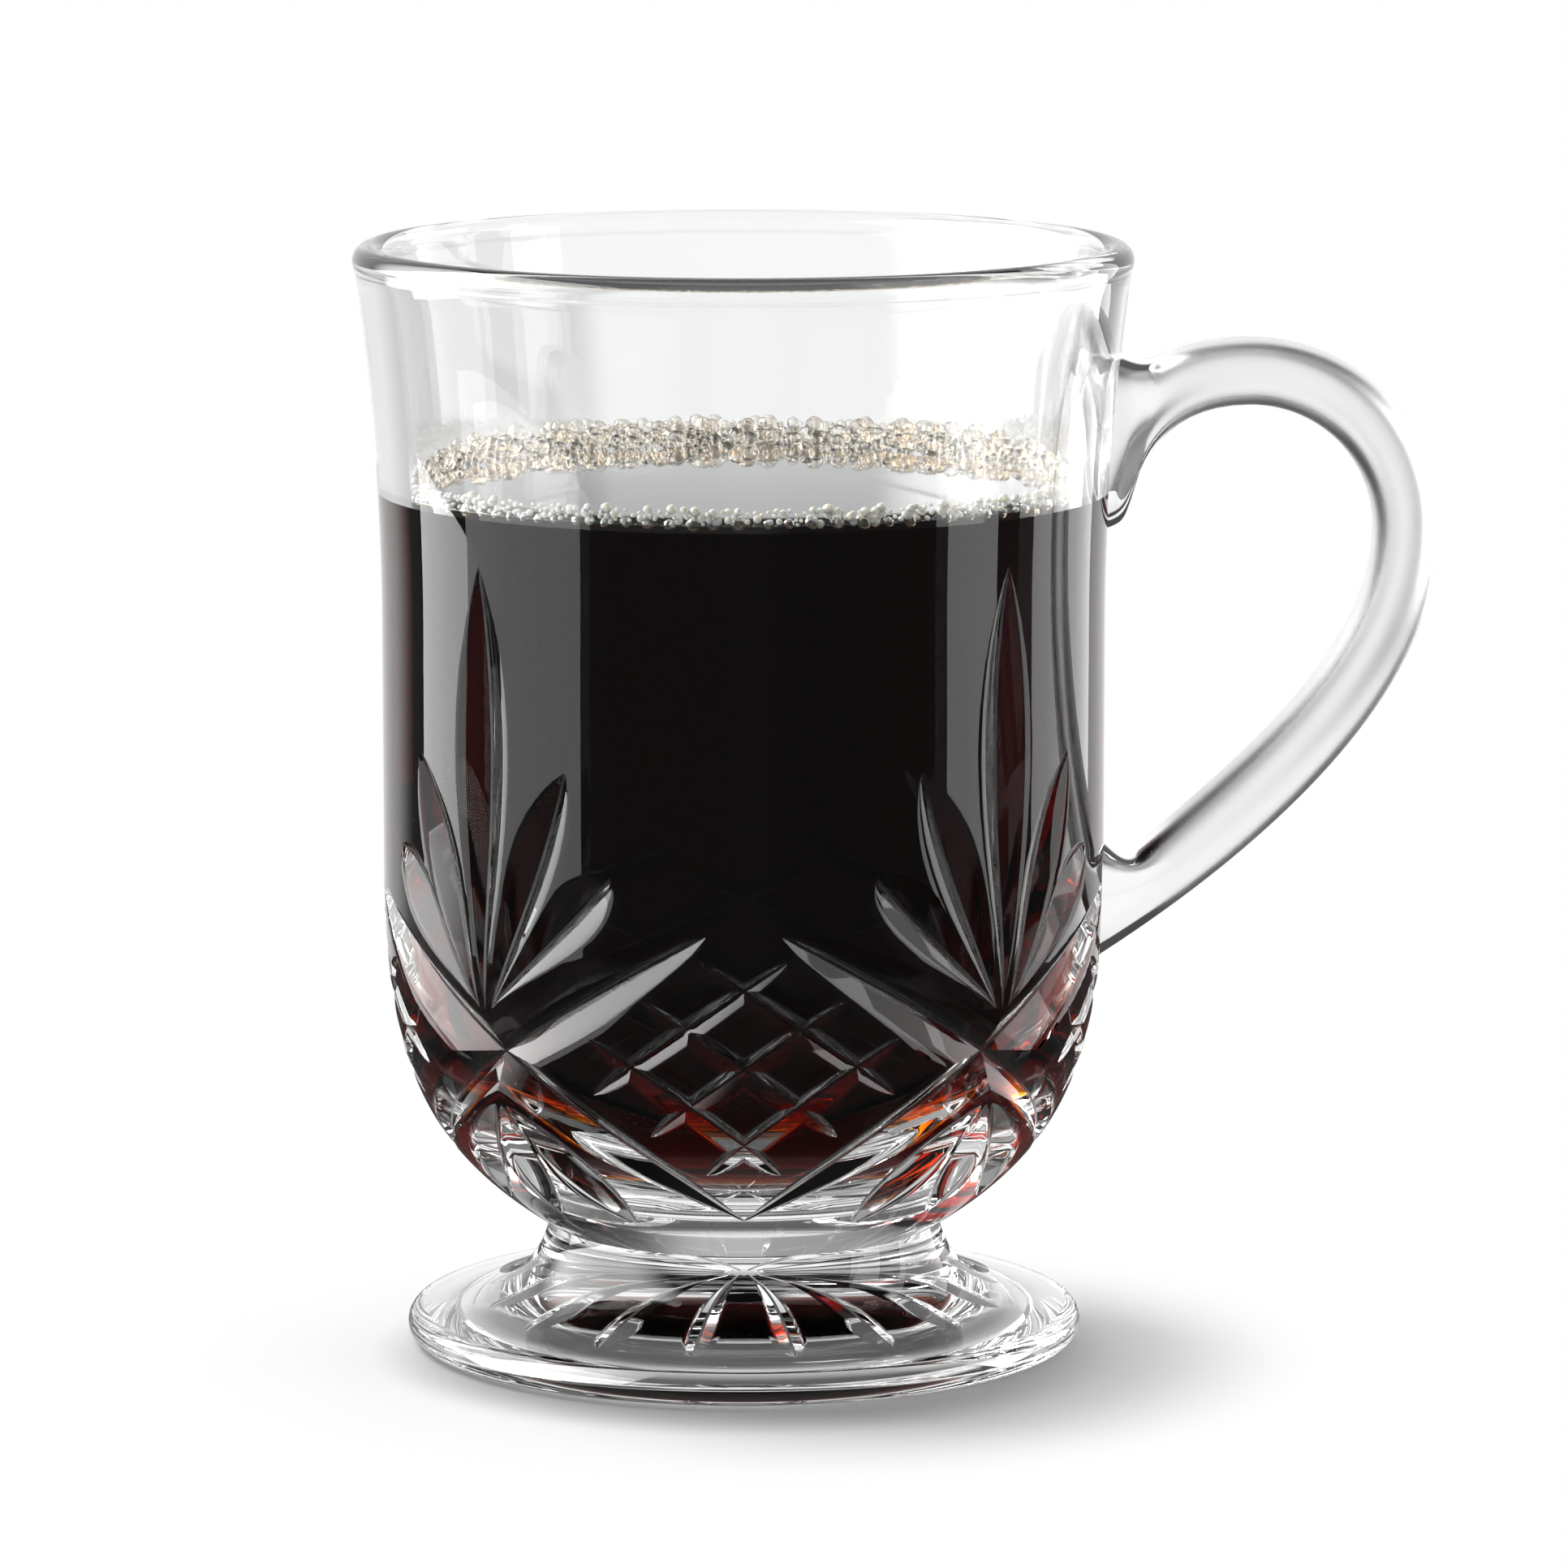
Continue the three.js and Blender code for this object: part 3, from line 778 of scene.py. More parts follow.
def foot_outline(foot, bowl):
    """The foot, from the axis in its hollow to the axis at the joint."""
    hollow = [(r, hollow_height(foot, r)) for r in np.linspace(0, foot.hollow_radius, HOLLOW_STEPS)]
    hollow.append((foot.hollow_radius + foot.hollow_wall, 0))
    edge = (foot.radius - foot.edge_round, foot.edge_round)
    rim = arc(edge, foot.edge_round, -math.pi / 2, math.pi / 2, RIM_STEPS)
    brim = rim[-1]
    sweep = bezier(
        brim, (brim[0] - foot.top_pull, brim[1] + foot.top_rise),
        (bowl.joint_radius + foot.neck_flare, bowl.base - foot.neck_pull),
        (bowl.joint_radius, bowl.base), SWEEP_STEPS,
    )
    return [*hollow, *rim, *sweep[1:], (0, bowl.base)]


# Cutters

def groove_section(half, slope, cut):
    """A V with a ground bottom line and rounded shoulders: (across, depth, rise) from side to side."""
    soft = cut.shoulder
    valley = min(cut.valley, VALLEY_LIMIT * half)
    brim = half * (1 + soft)
    right = [(brim, 0, cut.overshoot), (brim, 0, cut.lip)]
    for t in ROUNDING:
        right.append((brim - 2 * soft * t * half, soft * t * t * half * slope, 0))
    right.append((valley, (half - valley) * slope, 0))
    left = [(-across, depth, rise) for across, depth, rise in right]
    return [*left, *reversed(right)]


def groove(samples, drop, slope, cut):
    """Points and sides of a cutter along (point, normal, half width) samples on a surface.

    drop sets a point down on the surface, as a point and a normal.
    """
    points = []
    for i, (point, normal, half) in enumerate(samples):
        before = samples[max(i - 1, 0)][0]
        after = samples[min(i + 1, len(samples) - 1)][0]
        side = (after - before).cross(normal).normalized()
        section = groove_section(half, slope, cut)
        for across, depth, rise in section:
            spot, upward = drop(point + side * across)
            points.append(spot + upward * (rise - depth))
    around = len(section)
    end = len(points) - around
    caps = [tuple(range(around)), tuple(reversed(range(end, end + around)))]
    sides = [(a, d, c, b) for a, b, c, d in bands(len(samples), around)]
    ground = [False] * len(caps) + [i % around == around // 2 - 1 for i in range(len(sides))]
    return points, [*caps, *sides], ground


def cutter_piece(name, grooves):
    """One tool of many separate bars, whose bottom lines are marked as ground."""
    vertices, faces, ground = [], [], []
    for points, sides, marks in grooves:
        faces += [tuple(len(vertices) + i for i in side) for side in sides]
        vertices += points
        ground += marks
    tool = new_piece(name, vertices, faces)
    tool.data.attributes.new(GROUND, "BOOLEAN", "FACE").data.foreach_set("value", ground)
    shape = bmesh.new()
    shape.from_mesh(tool.data)
    bmesh.ops.recalc_face_normals(shape, faces=shape.faces)
    shape.to_mesh(tool.data)
    shape.free()
    return tool


def leaf_width(t, widest, fullness):
    """Half width along a leaf-shaped cut, as a part of its widest."""
    swayed = t ** (math.log(0.5) / math.log(widest))
    return max(math.sin(math.pi * swayed), SHARP_TIP) ** fullness


def wall_drop(profile):
    """Sets points down on the bowl's outside."""
    heights, radii = profile.points[:, 1], profile.points[:, 0]

    def drop(point):
        outward = Vector((point.x, point.y, 0)).normalized()
        radius = float(np.interp(point.z, heights, radii))
        _, flat = profile.nearest(np.array([[radius, point.z]]))
        normal = outward * flat[0, 0] + Vector((0, 0, flat[0, 1]))
        return outward * radius + Vector((0, 0, point.z)), normal.normalized()

    return drop


class PanelCutter:
    """Collects the grooves of one diamond panel and of the fan beside it."""

    def __init__(self, bowl, cut):
        self.base = bowl.base
        self.cut = cut
        self.drop = wall_drop(Profile(outer_outline(bowl)))
        self.fan = math.pi / cut.panels
        self.grooves = []

    def line(self, start, end, kind):
        """A leaf-shaped groove between two (angle, rise) spots, with the sizes of its kind."""
        half, widest, fullness, slope = (
            getattr(self.cut, f"{kind}_{size}") for size in ("half_width", "widest", "fullness", "slope")
        )
        samples = []
        for t in np.linspace(0, 1, self.cut.steps + 1):
            turn = start[0] + (end[0] - start[0]) * t
            z = self.base + start[1] + (end[1] - start[1]) * t
            point, normal = self.drop(Vector((math.sin(turn), -math.cos(turn), z)))
            samples.append((point, normal, half * leaf_width(t, widest, fullness)))
        self.grooves.append(groove(samples, self.drop, slope, self.cut))

    def lattice(self):
        """The crossing lines between the diamonds."""
        cut = self.cut

        def spot(u, v):
            return (u - v) * cut.diamond_angle, cut.lattice_rise + (u + v) * cut.diamond_rise

        end = 1 + cut.lattice_overrun
        for k in (-1, 0, 1):
            self.line(spot(-end, k), spot(end, k), "lattice")
            self.line(spot(k, -end), spot(k, end), "lattice")

    def arms(self):
        """The two long arms that cross under the fan."""
        cut = self.cut
        for hand in (-1, 1):
            foot = self.fan - hand * self.fan
            self.line((foot, cut.arm_low_rise), (foot + hand * cut.arm_run, cut.arm_high_rise), "arm")

    def leaves(self, kind, focus, tip_angle, leans):
        """The fan's leaves of one kind, each leaning its own way."""
        tip_rise = getattr(self.cut, kind + "_tip_rise")
        for lean in leans:
            start = (self.fan + lean * self.cut.fan_spread, focus)
            self.line(start, (self.fan + lean * tip_angle, tip_rise), kind)


def panel_cuts(bowl, cut):
    """The tool that cuts one diamond panel and the fan beside it."""
    cutter = PanelCutter(bowl, cut)
    cutter.lattice()
    cutter.arms()
    cutter.leaves("centre", cut.fan_focus_rise, 0, (0,))
    cutter.leaves("middle", cut.fan_focus_rise, cut.middle_tip_angle, (-1, 1))
    cutter.leaves("outer", cut.fan_focus_rise, cut.outer_tip_angle, (-1, 1))
    cutter.leaves("base", cut.base_focus_rise, cut.base_tip_angle, (-1, 0, 1))
    return cutter_piece("panel_cutter", cutter.grooves)


def star_ray(foot, cut):
    """The tool that cuts one ray of the star in the hollow under the foot."""
    steepness = 2 * (foot.hollow_rise - foot.hollow_edge) / foot.hollow_radius ** 2
    way = Vector((math.cos(math.pi / foot.rays), math.sin(math.pi / foot.rays), 0))

    def drop(point):
        outward = Vector((point.x, point.y, 0))
        spot = outward + Vector((0, 0, hollow_height(foot, outward.length)))
        return spot, Vector((-steepness * point.x, -steepness * point.y, -1)).normalized()

    samples = []
    for t in np.linspace(0, 1, cut.steps + 1):
        spot, down = drop(way * (foot.star_inner + (foot.star_outer - foot.star_inner) * t))
        half = foot.star_half_width * leaf_width(t, foot.star_widest, foot.star_fullness)
        samples.append((spot, down, half))
    return cutter_piece("ray_cutter", [groove(samples, drop, foot.star_slope, cut)])


def knot(x, z):
    """A point of the handle's outline, written in millimetres."""
    return x * MM, z * MM


def handle_outer(handle, wall_x, bend, radius):
    """The loop's outer outline, from the toe's top over the bend to the root's lower side."""
    toe, dip, root = (wall_x, 103.6 * MM), knot(42.4, 102.2), (wall_x, 39.5 * MM)
    crown_pull, run_pull = 48.2 * MM, 18.32 * MM
    return [
        *bezier(toe, knot(39.6, 102.6), knot(40.2, 101.3), dip, TOE_STEPS)[:-1],
        *bezier(dip, knot(45.2, 103.4), (crown_pull, handle.top), (bend[0], handle.top), CROWN_STEPS)[:-1],
        *arc(bend, radius, math.pi / 2, 0, BEND_STEPS)[:-1],
        *bezier((handle.reach, bend[1]), (handle.reach, bend[1] - run_pull), knot(51.6, 49.97), root,
                RUN_STEPS + CROOK_STEPS),
    ]


def handle_inner(wall_x, bend, radius):
    """The loop's inner outline, from the toe's tip over the bend to the root's upper side."""
    toe, heel = (wall_x, 84.2 * MM), knot(39.5, 86.6)
    crook, root = knot(40.6, 51.25), (wall_x, 54.2 * MM)
    crown_pull, run_pull = 44.3 * MM, 13.72 * MM
    top, side = bend[1] + radius, bend[0] + radius
    return [
        *bezier(toe, knot(38.6, 84.6), knot(39.2, 85.4), heel, TOE_STEPS)[:-1],
        *bezier(heel, knot(40.9, 93.0), (crown_pull, top), (bend[0], top), CROWN_STEPS)[:-1],
        *arc(bend, radius, math.pi / 2, 0, BEND_STEPS)[:-1],
        *bezier((side, bend[1]), (side, bend[1] - run_pull), knot(49.1, 58.94), crook, RUN_STEPS)[:-1],
        *bezier(crook, knot(39.2, 50.0), knot(38.4, 51.4), root, CROOK_STEPS),
    ]


def handle_section(handle, middle, across, half):
    """One ring of the loop, squarer on its outer half than on its inner one."""
    ring = []
    for j in range(SECTION_STEPS):
        a = 2 * math.pi * j / SECTION_STEPS
        c, s = math.cos(a), math.sin(a)
        power = 2 / (handle.outer_fullness if c > 0 else handle.inner_fullness)
        side = Vector((0, math.copysign(abs(s) ** power, s) * half, 0))
        ring.append(middle + across * math.copysign(abs(c) ** power, c) + side)
    return ring


def handle_blank(handle, bowl):
    """The handle before it is fitted to the wall: its roots run into the glass."""
    bend_x = bowl.body_radius + handle.standoff
    outer_bend = handle.reach - bend_x
    bend = (bend_x, handle.top - outer_bend)
    wall_x = bowl.body_radius - bowl.wall / 2
    outer = handle_outer(handle, wall_x, bend, outer_bend)
    inner = handle_inner(wall_x, bend, outer_bend - handle.thickness)
    sections = []
    for i, (far, near) in enumerate(zip(outer, inner)):
        middle = Vector(((far[0] + near[0]) / 2, 0, (far[1] + near[1]) / 2))
        across = Vector(((far[0] - near[0]) / 2, 0, (far[1] - near[1]) / 2))
        root = max(0.0, 1 - min(i, len(outer) - 1 - i) / ROOT_STEPS)
        half = handle.width / 2 + handle.root_flare * root ** 2
        sections.append(handle_section(handle, middle, across, half))
    return lofted("handle_blank", sections)


def wall_envelope(bowl, seat):
    """The bowl without its hollow, a little smaller, to fit the handle's roots."""
    outer = [(r - seat, z) for r, z in outer_outline(bowl)]
    return turned("wall_envelope", [(0, bowl.base), *outer, (0, bowl.height - bowl.wall / 2)])


# Pieces

def settle(piece, node):
    """Lets a finished piece stand for its CAD node."""
    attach(piece, BODY)
    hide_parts(node)


def ground_faces(mesh):
    """Which faces are the bottom line of a cut."""
    return read(mesh.attributes[GROUND].data, "value", 1)[:, 0] > 0.5


def seated_faces(centres, bowl, handle):
    """Which faces lie as deep in the wall as the handle's roots are let in."""
    depth = -Profile(outer_outline(bowl)).at(centres)[0]
    return np.abs(depth - handle.seat) < SEAT_PART * handle.seat


def bowl_tree():
    """A tree that cuts the pattern and fits the wall to the handle's roots."""
    tree, given = new_shape_tree("cut_bowl", [
        ("Cutter", "Object"), ("Panels", "Int"), ("Handle", "Object"), ("Envelope", "Object"),
        ("Glass", "Material"),
    ])
    root = object_shape(tree, given["Handle"])
    wall = object_shape(tree, given["Envelope"])
    cuts = ring_of(tree, object_shape(tree, given["Cutter"]), given["Panels"])
    carved = boolean(tree, "DIFFERENCE", given["Geometry"], cuts)
    filled = boolean(tree, "UNION", carved, boolean(tree, "INTERSECT", root, wall))
    seated = boolean(tree, "DIFFERENCE", filled, boolean(tree, "DIFFERENCE", root, wall))
    close_shape_tree(tree, seated, given["Glass"])
    return tree


class MUG_OT_bowl(bpy.types.Operator):
    """Turn the bowl, cut its pattern and seat the handle's roots"""

    bl_idname = "mug.bowl"
    bl_label = "Cut Bowl"

    def execute(self, context):
        scene = context.scene
        bowl, cut, handle, drink = scene.mug_bowl, scene.mug_cut, scene.mug_handle, scene.mug_drink
        outline = bowl_outline(bowl)
        piece = turned("bowl_glass", outline)
        tools = {
            "cutter": panel_cuts(bowl, cut), "handle": handle_blank(handle, bowl),
            "envelope": wall_envelope(bowl, handle.seat),
        }
        grow(piece, bowl_tree(), panels=cut.panels, glass=clear_glass(), **tools)
        discard(*tools.values())
        mesh = piece.data
        centres, flat, ideal = smooth_turned(mesh, Profile(outline), FACET_CREASE, TURNED_MATCH)
        inside = Profile(inner_outline(bowl, 0, bowl.height - bowl.wall / 2))
        wet = np.abs(inside.at(centres)[0]) < NEAR_WALL
        wet &= centres[:, 2] < drink.level - drink.dip
        add_slot(mesh, wetted_glass(), wet)
        fused = (np.abs(centres[:, 2] - bowl.base) < NEAR_JOINT) & (flat[:, 2] < -FACING)
        seat = seated_faces(centres, bowl, handle) & (centres[:, 0] > 0)
        seat &= (flat * ideal).sum(1) > math.cos(SEAT_MATCH)
        add_slot(mesh, fused_glass(), fused | seat)
        add_slot(mesh, ground_glass(), ground_faces(mesh))
        settle(piece, "bowl")
        return {"FINISHED"}


class MUG_OT_foot(bpy.types.Operator):
    """Turn the foot and cut the star under it"""

    bl_idname = "mug.foot"
    bl_label = "Cut Foot"

    def execute(self, context):
        scene = context.scene
        bowl, foot = scene.mug_bowl, scene.mug_foot
        outline = foot_outline(foot, bowl)
        piece = turned("foot_glass", outline)
        cutter = star_ray(foot, scene.mug_cut)
        tree, given = new_shape_tree("cut_foot", [
            ("Cutter", "Object"), ("Rays", "Int"), ("Glass", "Material"),
        ])
        cuts = ring_of(tree, object_shape(tree, given["Cutter"]), given["Rays"])
        close_shape_tree(tree, boolean(tree, "DIFFERENCE", given["Geometry"], cuts), given["Glass"])
        grow(piece, tree, cutter=cutter, rays=foot.rays, glass=clear_glass())
        discard(cutter)
        mesh = piece.data
        centres, flat, _ = smooth_turned(mesh, Profile(outline), FACET_CREASE, TURNED_MATCH)
        add_slot(mesh, fused_glass(), (centres[:, 2] > bowl.base - NEAR_JOINT) & (flat[:, 2] > FACING))
        add_slot(mesh, ground_glass(), ground_faces(mesh))
        settle(piece, "foot")
        return {"FINISHED"}


class MUG_OT_handle(bpy.types.Operator):
    """Loft the looped handle and fit its roots to the wall"""

    bl_idname = "mug.handle"
    bl_label = "Loop Handle"

    def execute(self, context):
        scene = context.scene
        bowl, handle = scene.mug_bowl, scene.mug_handle
        piece = handle_blank(handle, bowl)
        piece.name = "handle_glass"
        envelope = wall_envelope(bowl, handle.seat)
        tree, given = new_shape_tree("fit_handle", [("Envelope", "Object"), ("Glass", "Material")])
        wall = object_shape(tree, given["Envelope"])
        close_shape_tree(tree, boolean(tree, "DIFFERENCE", given["Geometry"], wall), given["Glass"])
        grow(piece, tree, envelope=envelope, glass=satin_glass(bowl))
        discard(envelope)
        mesh = piece.data
        mesh.shade_smooth()
        mesh.set_sharp_from_angle(angle=HANDLE_CREASE)
        add_slot(mesh, fused_glass(), seated_faces(read(mesh.polygons, "center", 3), bowl, handle))
        settle(piece, "handle")
        return {"FINISHED"}


class MUG_OT_coffee(bpy.types.Operator):
    """Pour the coffee up to its level, pressed down along the wall where the froth floats"""

    bl_idname = "mug.coffee"
    bl_label = "Pour Coffee"

    def execute(self, context):
        scene = context.scene
        bowl, drink, finishes = scene.mug_bowl, scene.mug_drink, scene.mug_finishes
        wall = inner_outline(bowl, drink.film, drink.level - drink.dip)
        edge = wall[-1][0]
        surface = [
            (edge - drink.dip_reach * t, drink.level - drink.dip * (1 - t) ** 2)
            for t in np.linspace(0, 1, DIP_STEPS)[1:]
        ]
        outline = [*wall, *surface, (0, drink.level)]
        piece = turned("coffee_drink", outline)
        mesh = piece.data
        mesh.materials.append(coffee_finish("black_coffee", finishes, COFFEE_IOR, 1.0))
        centres, _, _ = smooth_turned(mesh, Profile(outline), DRINK_CREASE, DRINK_MATCH)
        against = np.abs(Profile(wall).at(centres)[0]) < NEAR_FILM
        add_slot(mesh, coffee_finish("black_coffee_at_glass", finishes, 1.0, 0.0), against)
        settle(piece, "coffee")
        return {"FINISHED"}


def wall_bed(name, bowl, high, low):
    """The band of wall between two heights that bubbles touch, facing inwards."""
    points = []
    for z in np.linspace(high, low, WALL_ROWS):
        radius = inner_outline(bowl, 0, z)[-1][0]
        points += [(radius * math.cos(a), radius * math.sin(a), z) for a in BED_ANGLES]
    return new_piece(name, points, bands(WALL_ROWS, BED_SEGMENTS))


def foam_bed(bowl, drink):
    """The sickle of coffee that the foam at the back lies on, facing up and rising to the wall."""
    past_sides, widening, heaping, rounding = 0.12, 1.6, 2, 0.7
    coarse_rag, coarse_waves, fine_rag, fine_waves = 0.16, 7, 0.1, 17
    wall = inner_outline(bowl, 0, drink.level)[-1][0] - drink.foam_radius
    points = []
    for t in np.linspace(0, 1, FOAM_ROWS):
        for a in BED_ANGLES:
            back = max(0.0, math.sin(a) + past_sides) / (1 + past_sides)
            ragged = 1 + coarse_rag * math.sin(coarse_waves * a + 1) + fine_rag * math.sin(fine_waves * a)
            width = drink.foam_width * min(1.0, back * widening) * ragged
            radius = wall - width * t
            rise = drink.foam_height * min(1.0, back * heaping) * (1 - t) ** rounding
            points.append((radius * math.cos(a), radius * math.sin(a), drink.level + rise))
    return new_piece("foam_bed", points, bands(FOAM_ROWS, BED_SEGMENTS))


def bubble(tree, radius, fineness, kind):
    """A smooth ball whose faces are marked with the kind of bubble."""
    ball = add(tree, "GeometryNodeMeshIcoSphere", {"Radius": radius, "Subdivisions": fineness})
    marked = add(tree, "GeometryNodeStoreNamedAttribute", {
        "Geometry": ball.outputs["Mesh"], "Name": KIND, "Value": kind,
    }, data_type="INT", domain="FACE")
    return add(tree, "GeometryNodeSetShadeSmooth", {"Geometry": marked.outputs[0]}).outputs[0]


def bubbles_on(tree, bed, radius, gap, seed, sink, least, kind):
    """Bubbles of many sizes, few of them large, sunk into a bed by a part of their radius."""
    scatter = add(tree, "GeometryNodeDistributePointsOnFaces", {
        "Mesh": bed, "Distance Min": gap, "Density Max": BUBBLE_DENSITY, "Seed": seed,
    }, distribute_method="POISSON")
    chance = add(tree, "FunctionNodeRandomValue", {"Seed": seed}, data_type="FLOAT").outputs[1]
    rare = maths(tree, "POWER", chance, BUBBLE_RARITY)
    size = add(tree, "ShaderNodeMapRange", {"Value": rare, "To Min": least, "To Max": 1.0}).outputs[0]
    own = maths(tree, "MULTIPLY", size, radius)
    offset = add(tree, "ShaderNodeVectorMath", {
        0: scatter.outputs["Normal"], "Scale": maths(tree, "MULTIPLY", own, 1 - sink),
    }, operation="SCALE")
    raised = add(tree, "GeometryNodeSetPosition", {
        "Geometry": scatter.outputs["Points"], "Offset": offset.outputs[0],
    })
    large = add(tree, "FunctionNodeCompare", {0: own, 1: LARGE_BUBBLE}, operation="GREATER_THAN")
    small = add(tree, "FunctionNodeBooleanMath", {0: large.outputs[0]}, operation="NOT")
    both = add(tree, "GeometryNodeJoinGeometry")
    for chosen, fineness in ((small, SMALL_FINENESS), (large, LARGE_FINENESS)):
        copies = add(tree, "GeometryNodeInstanceOnPoints", {
            "Points": raised.outputs[0], "Instance": bubble(tree, radius, fineness, kind), "Scale": size,
            "Selection": chosen.outputs[0],
        })
        tree.links.new(copies.outputs[0], both.inputs[0])
    return both.outputs[0]


def froth_tree():
    """A tree that scatters each kind of bubble on its own bed."""
    tree, given = new_shape_tree("scatter_froth", [
        ("Foam Bed", "Object"), ("Drop Bed", "Object"), ("Seed", "Int"), ("Froth", "Material"),
        *((size, "Float") for size in BUBBLE_SIZES),
    ])
    beds = (object_shape(tree, given["Foam Bed"]), given["Geometry"], object_shape(tree, given["Drop Bed"]))
    together = add(tree, "GeometryNodeJoinGeometry")
    for kind, (name, sink, least) in enumerate(BUBBLES):
        radius, gap = given[name + "_radius"], given[name + "_gap"]
        bubbles = bubbles_on(tree, beds[kind], radius, gap, given["Seed"], sink, least, kind)
        tree.links.new(bubbles, together.inputs[0])
    close_shape_tree(tree, together.outputs[0], given["Froth"])
    return tree


class MUG_OT_froth(bpy.types.Operator):
    """Scatter bubbles of many sizes along the wall and foam at the back"""

    bl_idname = "mug.froth"
    bl_label = "Scatter Froth"

    def execute(self, context):
        scene = context.scene
        bowl, drink, finishes = scene.mug_bowl, scene.mug_drink, scene.mug_finishes
        fine_low = drink.level - drink.bead_low
        piece = wall_bed("froth_bubbles", bowl, drink.level + drink.bead_high, fine_low)
        drops = wall_bed("drop_bed", bowl, fine_low, drink.level - drink.drop_low)
        foam = foam_bed(bowl, drink)
        sizes = {size: getattr(drink, size) for size in BUBBLE_SIZES}
        clear = froth_finish("froth_bubble", finishes.froth, BUBBLE_IOR)
        grow(piece, froth_tree(), foam_bed=foam, drop_bed=drops, seed=drink.seed, froth=clear, **sizes)
        discard(foam, drops)
        mesh = piece.data
        kinds = np.empty(len(mesh.polygons), np.int32)
        mesh.attributes[KIND].data.foreach_get("value", kinds)
        add_slot(mesh, cream_finish("froth_cream", finishes.cream), kinds == BEADS)
        add_slot(mesh, froth_finish("froth_drop", finishes.froth, AIR_IN_COFFEE), kinds == DROPS)
        settle(piece, "froth")
        return {"FINISHED"}


# Stage

def soften_sides(lamp, part):
    """Lets a lamp fade out over a part of its width at either side."""
    lamp.use_nodes = True
    tree = lamp.node_tree
    tree.nodes.clear()
    place = add(tree, "ShaderNodeNewGeometry")
    across = add(tree, "ShaderNodeSeparateXYZ", {0: place.outputs["Parametric"]}).outputs["X"]
    rising = fade(tree, across, (0.0, part), (0.0, 1.0))
    falling = fade(tree, across, (1 - part, 1.0), (1.0, 0.0))
    glow = add(tree, "ShaderNodeEmission", {"Strength": maths(tree, "MULTIPLY", rising, falling)})
    add(tree, "ShaderNodeOutputLight", {"Surface": glow.outputs[0]})


def soft_box(name, azimuth, elevation, distance, size, radiance):
    """A soft lamp that faces the mug, by its degrees left of the camera and its degrees up."""
    lamp = bpy.data.lights.new(name, "AREA")
    lamp.shape = "RECTANGLE"
    lamp.size, lamp.size_y = size
    lamp.energy = radiance * math.pi * size[0] * size[1]
    box = bpy.data.objects.new(name, lamp)
    turn, rise = math.radians(azimuth), math.radians(elevation)
    way = Vector((-math.sin(turn) * math.cos(rise), -math.cos(turn) * math.cos(rise), math.sin(rise)))
    box.location = LAMP_AIM + way * distance
    box.rotation_euler = (-way).to_track_quat("-Z", "Y").to_euler()
    bpy.context.scene.collection.objects.link(box)
    return box


def light_mug():
    """Sets up the lamps.

    The high left one fades at its sides and lights nothing matt. The back one isn't seen in the glass.
    """
    lamps = {name: soft_box(name, *setting) for name, setting in LAMPS.items()}
    high, back = lamps["soft_box_high_left"], lamps["soft_box_back"]
    high.visible_diffuse = False
    soften_sides(high.data, SOFT_SIDES)
    back.visible_glossy = False
    back.visible_transmission = False


def studio_world():
    """White for the camera; for glass and gloss, white behind the mug and darker on the camera's side."""
    world = bpy.data.worlds.new("studio")
    world.use_nodes = True
    tree = world.node_tree
    tree.nodes.clear()
    place = add(tree, "ShaderNodeTexCoord")
    axes = add(tree, "ShaderNodeSeparateXYZ", {0: place.outputs["Generated"]}).outputs
    through = 1.0
    for axis, limits, levels in STUDIO_THROUGH:
        through = maths(tree, "MULTIPLY", through, fade(tree, axes[axis], limits, levels))
    path = add(tree, "ShaderNodeLightPath").outputs
    level = choose(tree, path["Is Glossy Ray"], STUDIO_AMBIENT, fade(tree, axes["Y"], *STUDIO_MIRRORED))
    level = choose(tree, path["Is Transmission Ray"], level, through)
    seen = choose(tree, path["Is Camera Ray"], level, 1.0)
    glow = add(tree, "ShaderNodeBackground", {"Color": WHITE, "Strength": seen})
    add(tree, "ShaderNodeOutputWorld", {"Surface": glow.outputs[0]})
    return world


def table_finish():
    """White table that keeps the mug's shadow near it, partly real and partly a painted shadow in its
    colour, and melts into the white behind it.

    Seen through the glass it has a painted shade under the foot. Away from the mug it stays out of
    reflections, as a small table top does.
    """
    material, tree, output = new_material("white_table")
    place = add(tree, "ShaderNodeTexCoord").outputs["Object"]
    reach = add(tree, "ShaderNodeVectorMath", {0: place}, operation="LENGTH").outputs["Value"]
    fallen = add(tree, "ShaderNodeVectorMath", {0: place, 1: SHADOW_CENTRE}, operation="DISTANCE")
    fallen = fallen.outputs["Value"]
    path = add(tree, "ShaderNodeLightPath").outputs
    seen = choose(tree, path["Is Glossy Ray"], path["Is Camera Ray"], fade(tree, reach, *TABLE_MIRRORED))
    # Through glass the table's glow is darker under the foot: painted shade
    seen = choose(tree, path["Is Transmission Ray"], seen, fade(tree, reach, *TABLE_PAINTED_SHADE_THROUGH))
    glow = add(tree, "ShaderNodeEmission", {"Color": WHITE, "Strength": seen})
    # The matt part's colour is a painted contact shadow, darkest near the foot
    matt_with_painted_shadow = add(tree, "ShaderNodeBsdfDiffuse", {"Color": fade(tree, fallen, *TABLE_PAINTED_SHADOW)})
    part = choose(tree, path["Is Glossy Ray"], fade(tree, fallen, *TABLE_MELT), 1.0)
    part = choose(tree, path["Is Transmission Ray"], part, TABLE_GLOW_THROUGH)
    mixed = add(tree, "ShaderNodeMixShader", {0: part, 1: matt_with_painted_shadow.outputs[0], 2: glow.outputs[0]})
    tree.links.new(mixed.outputs[0], output.inputs["Surface"])
    return material


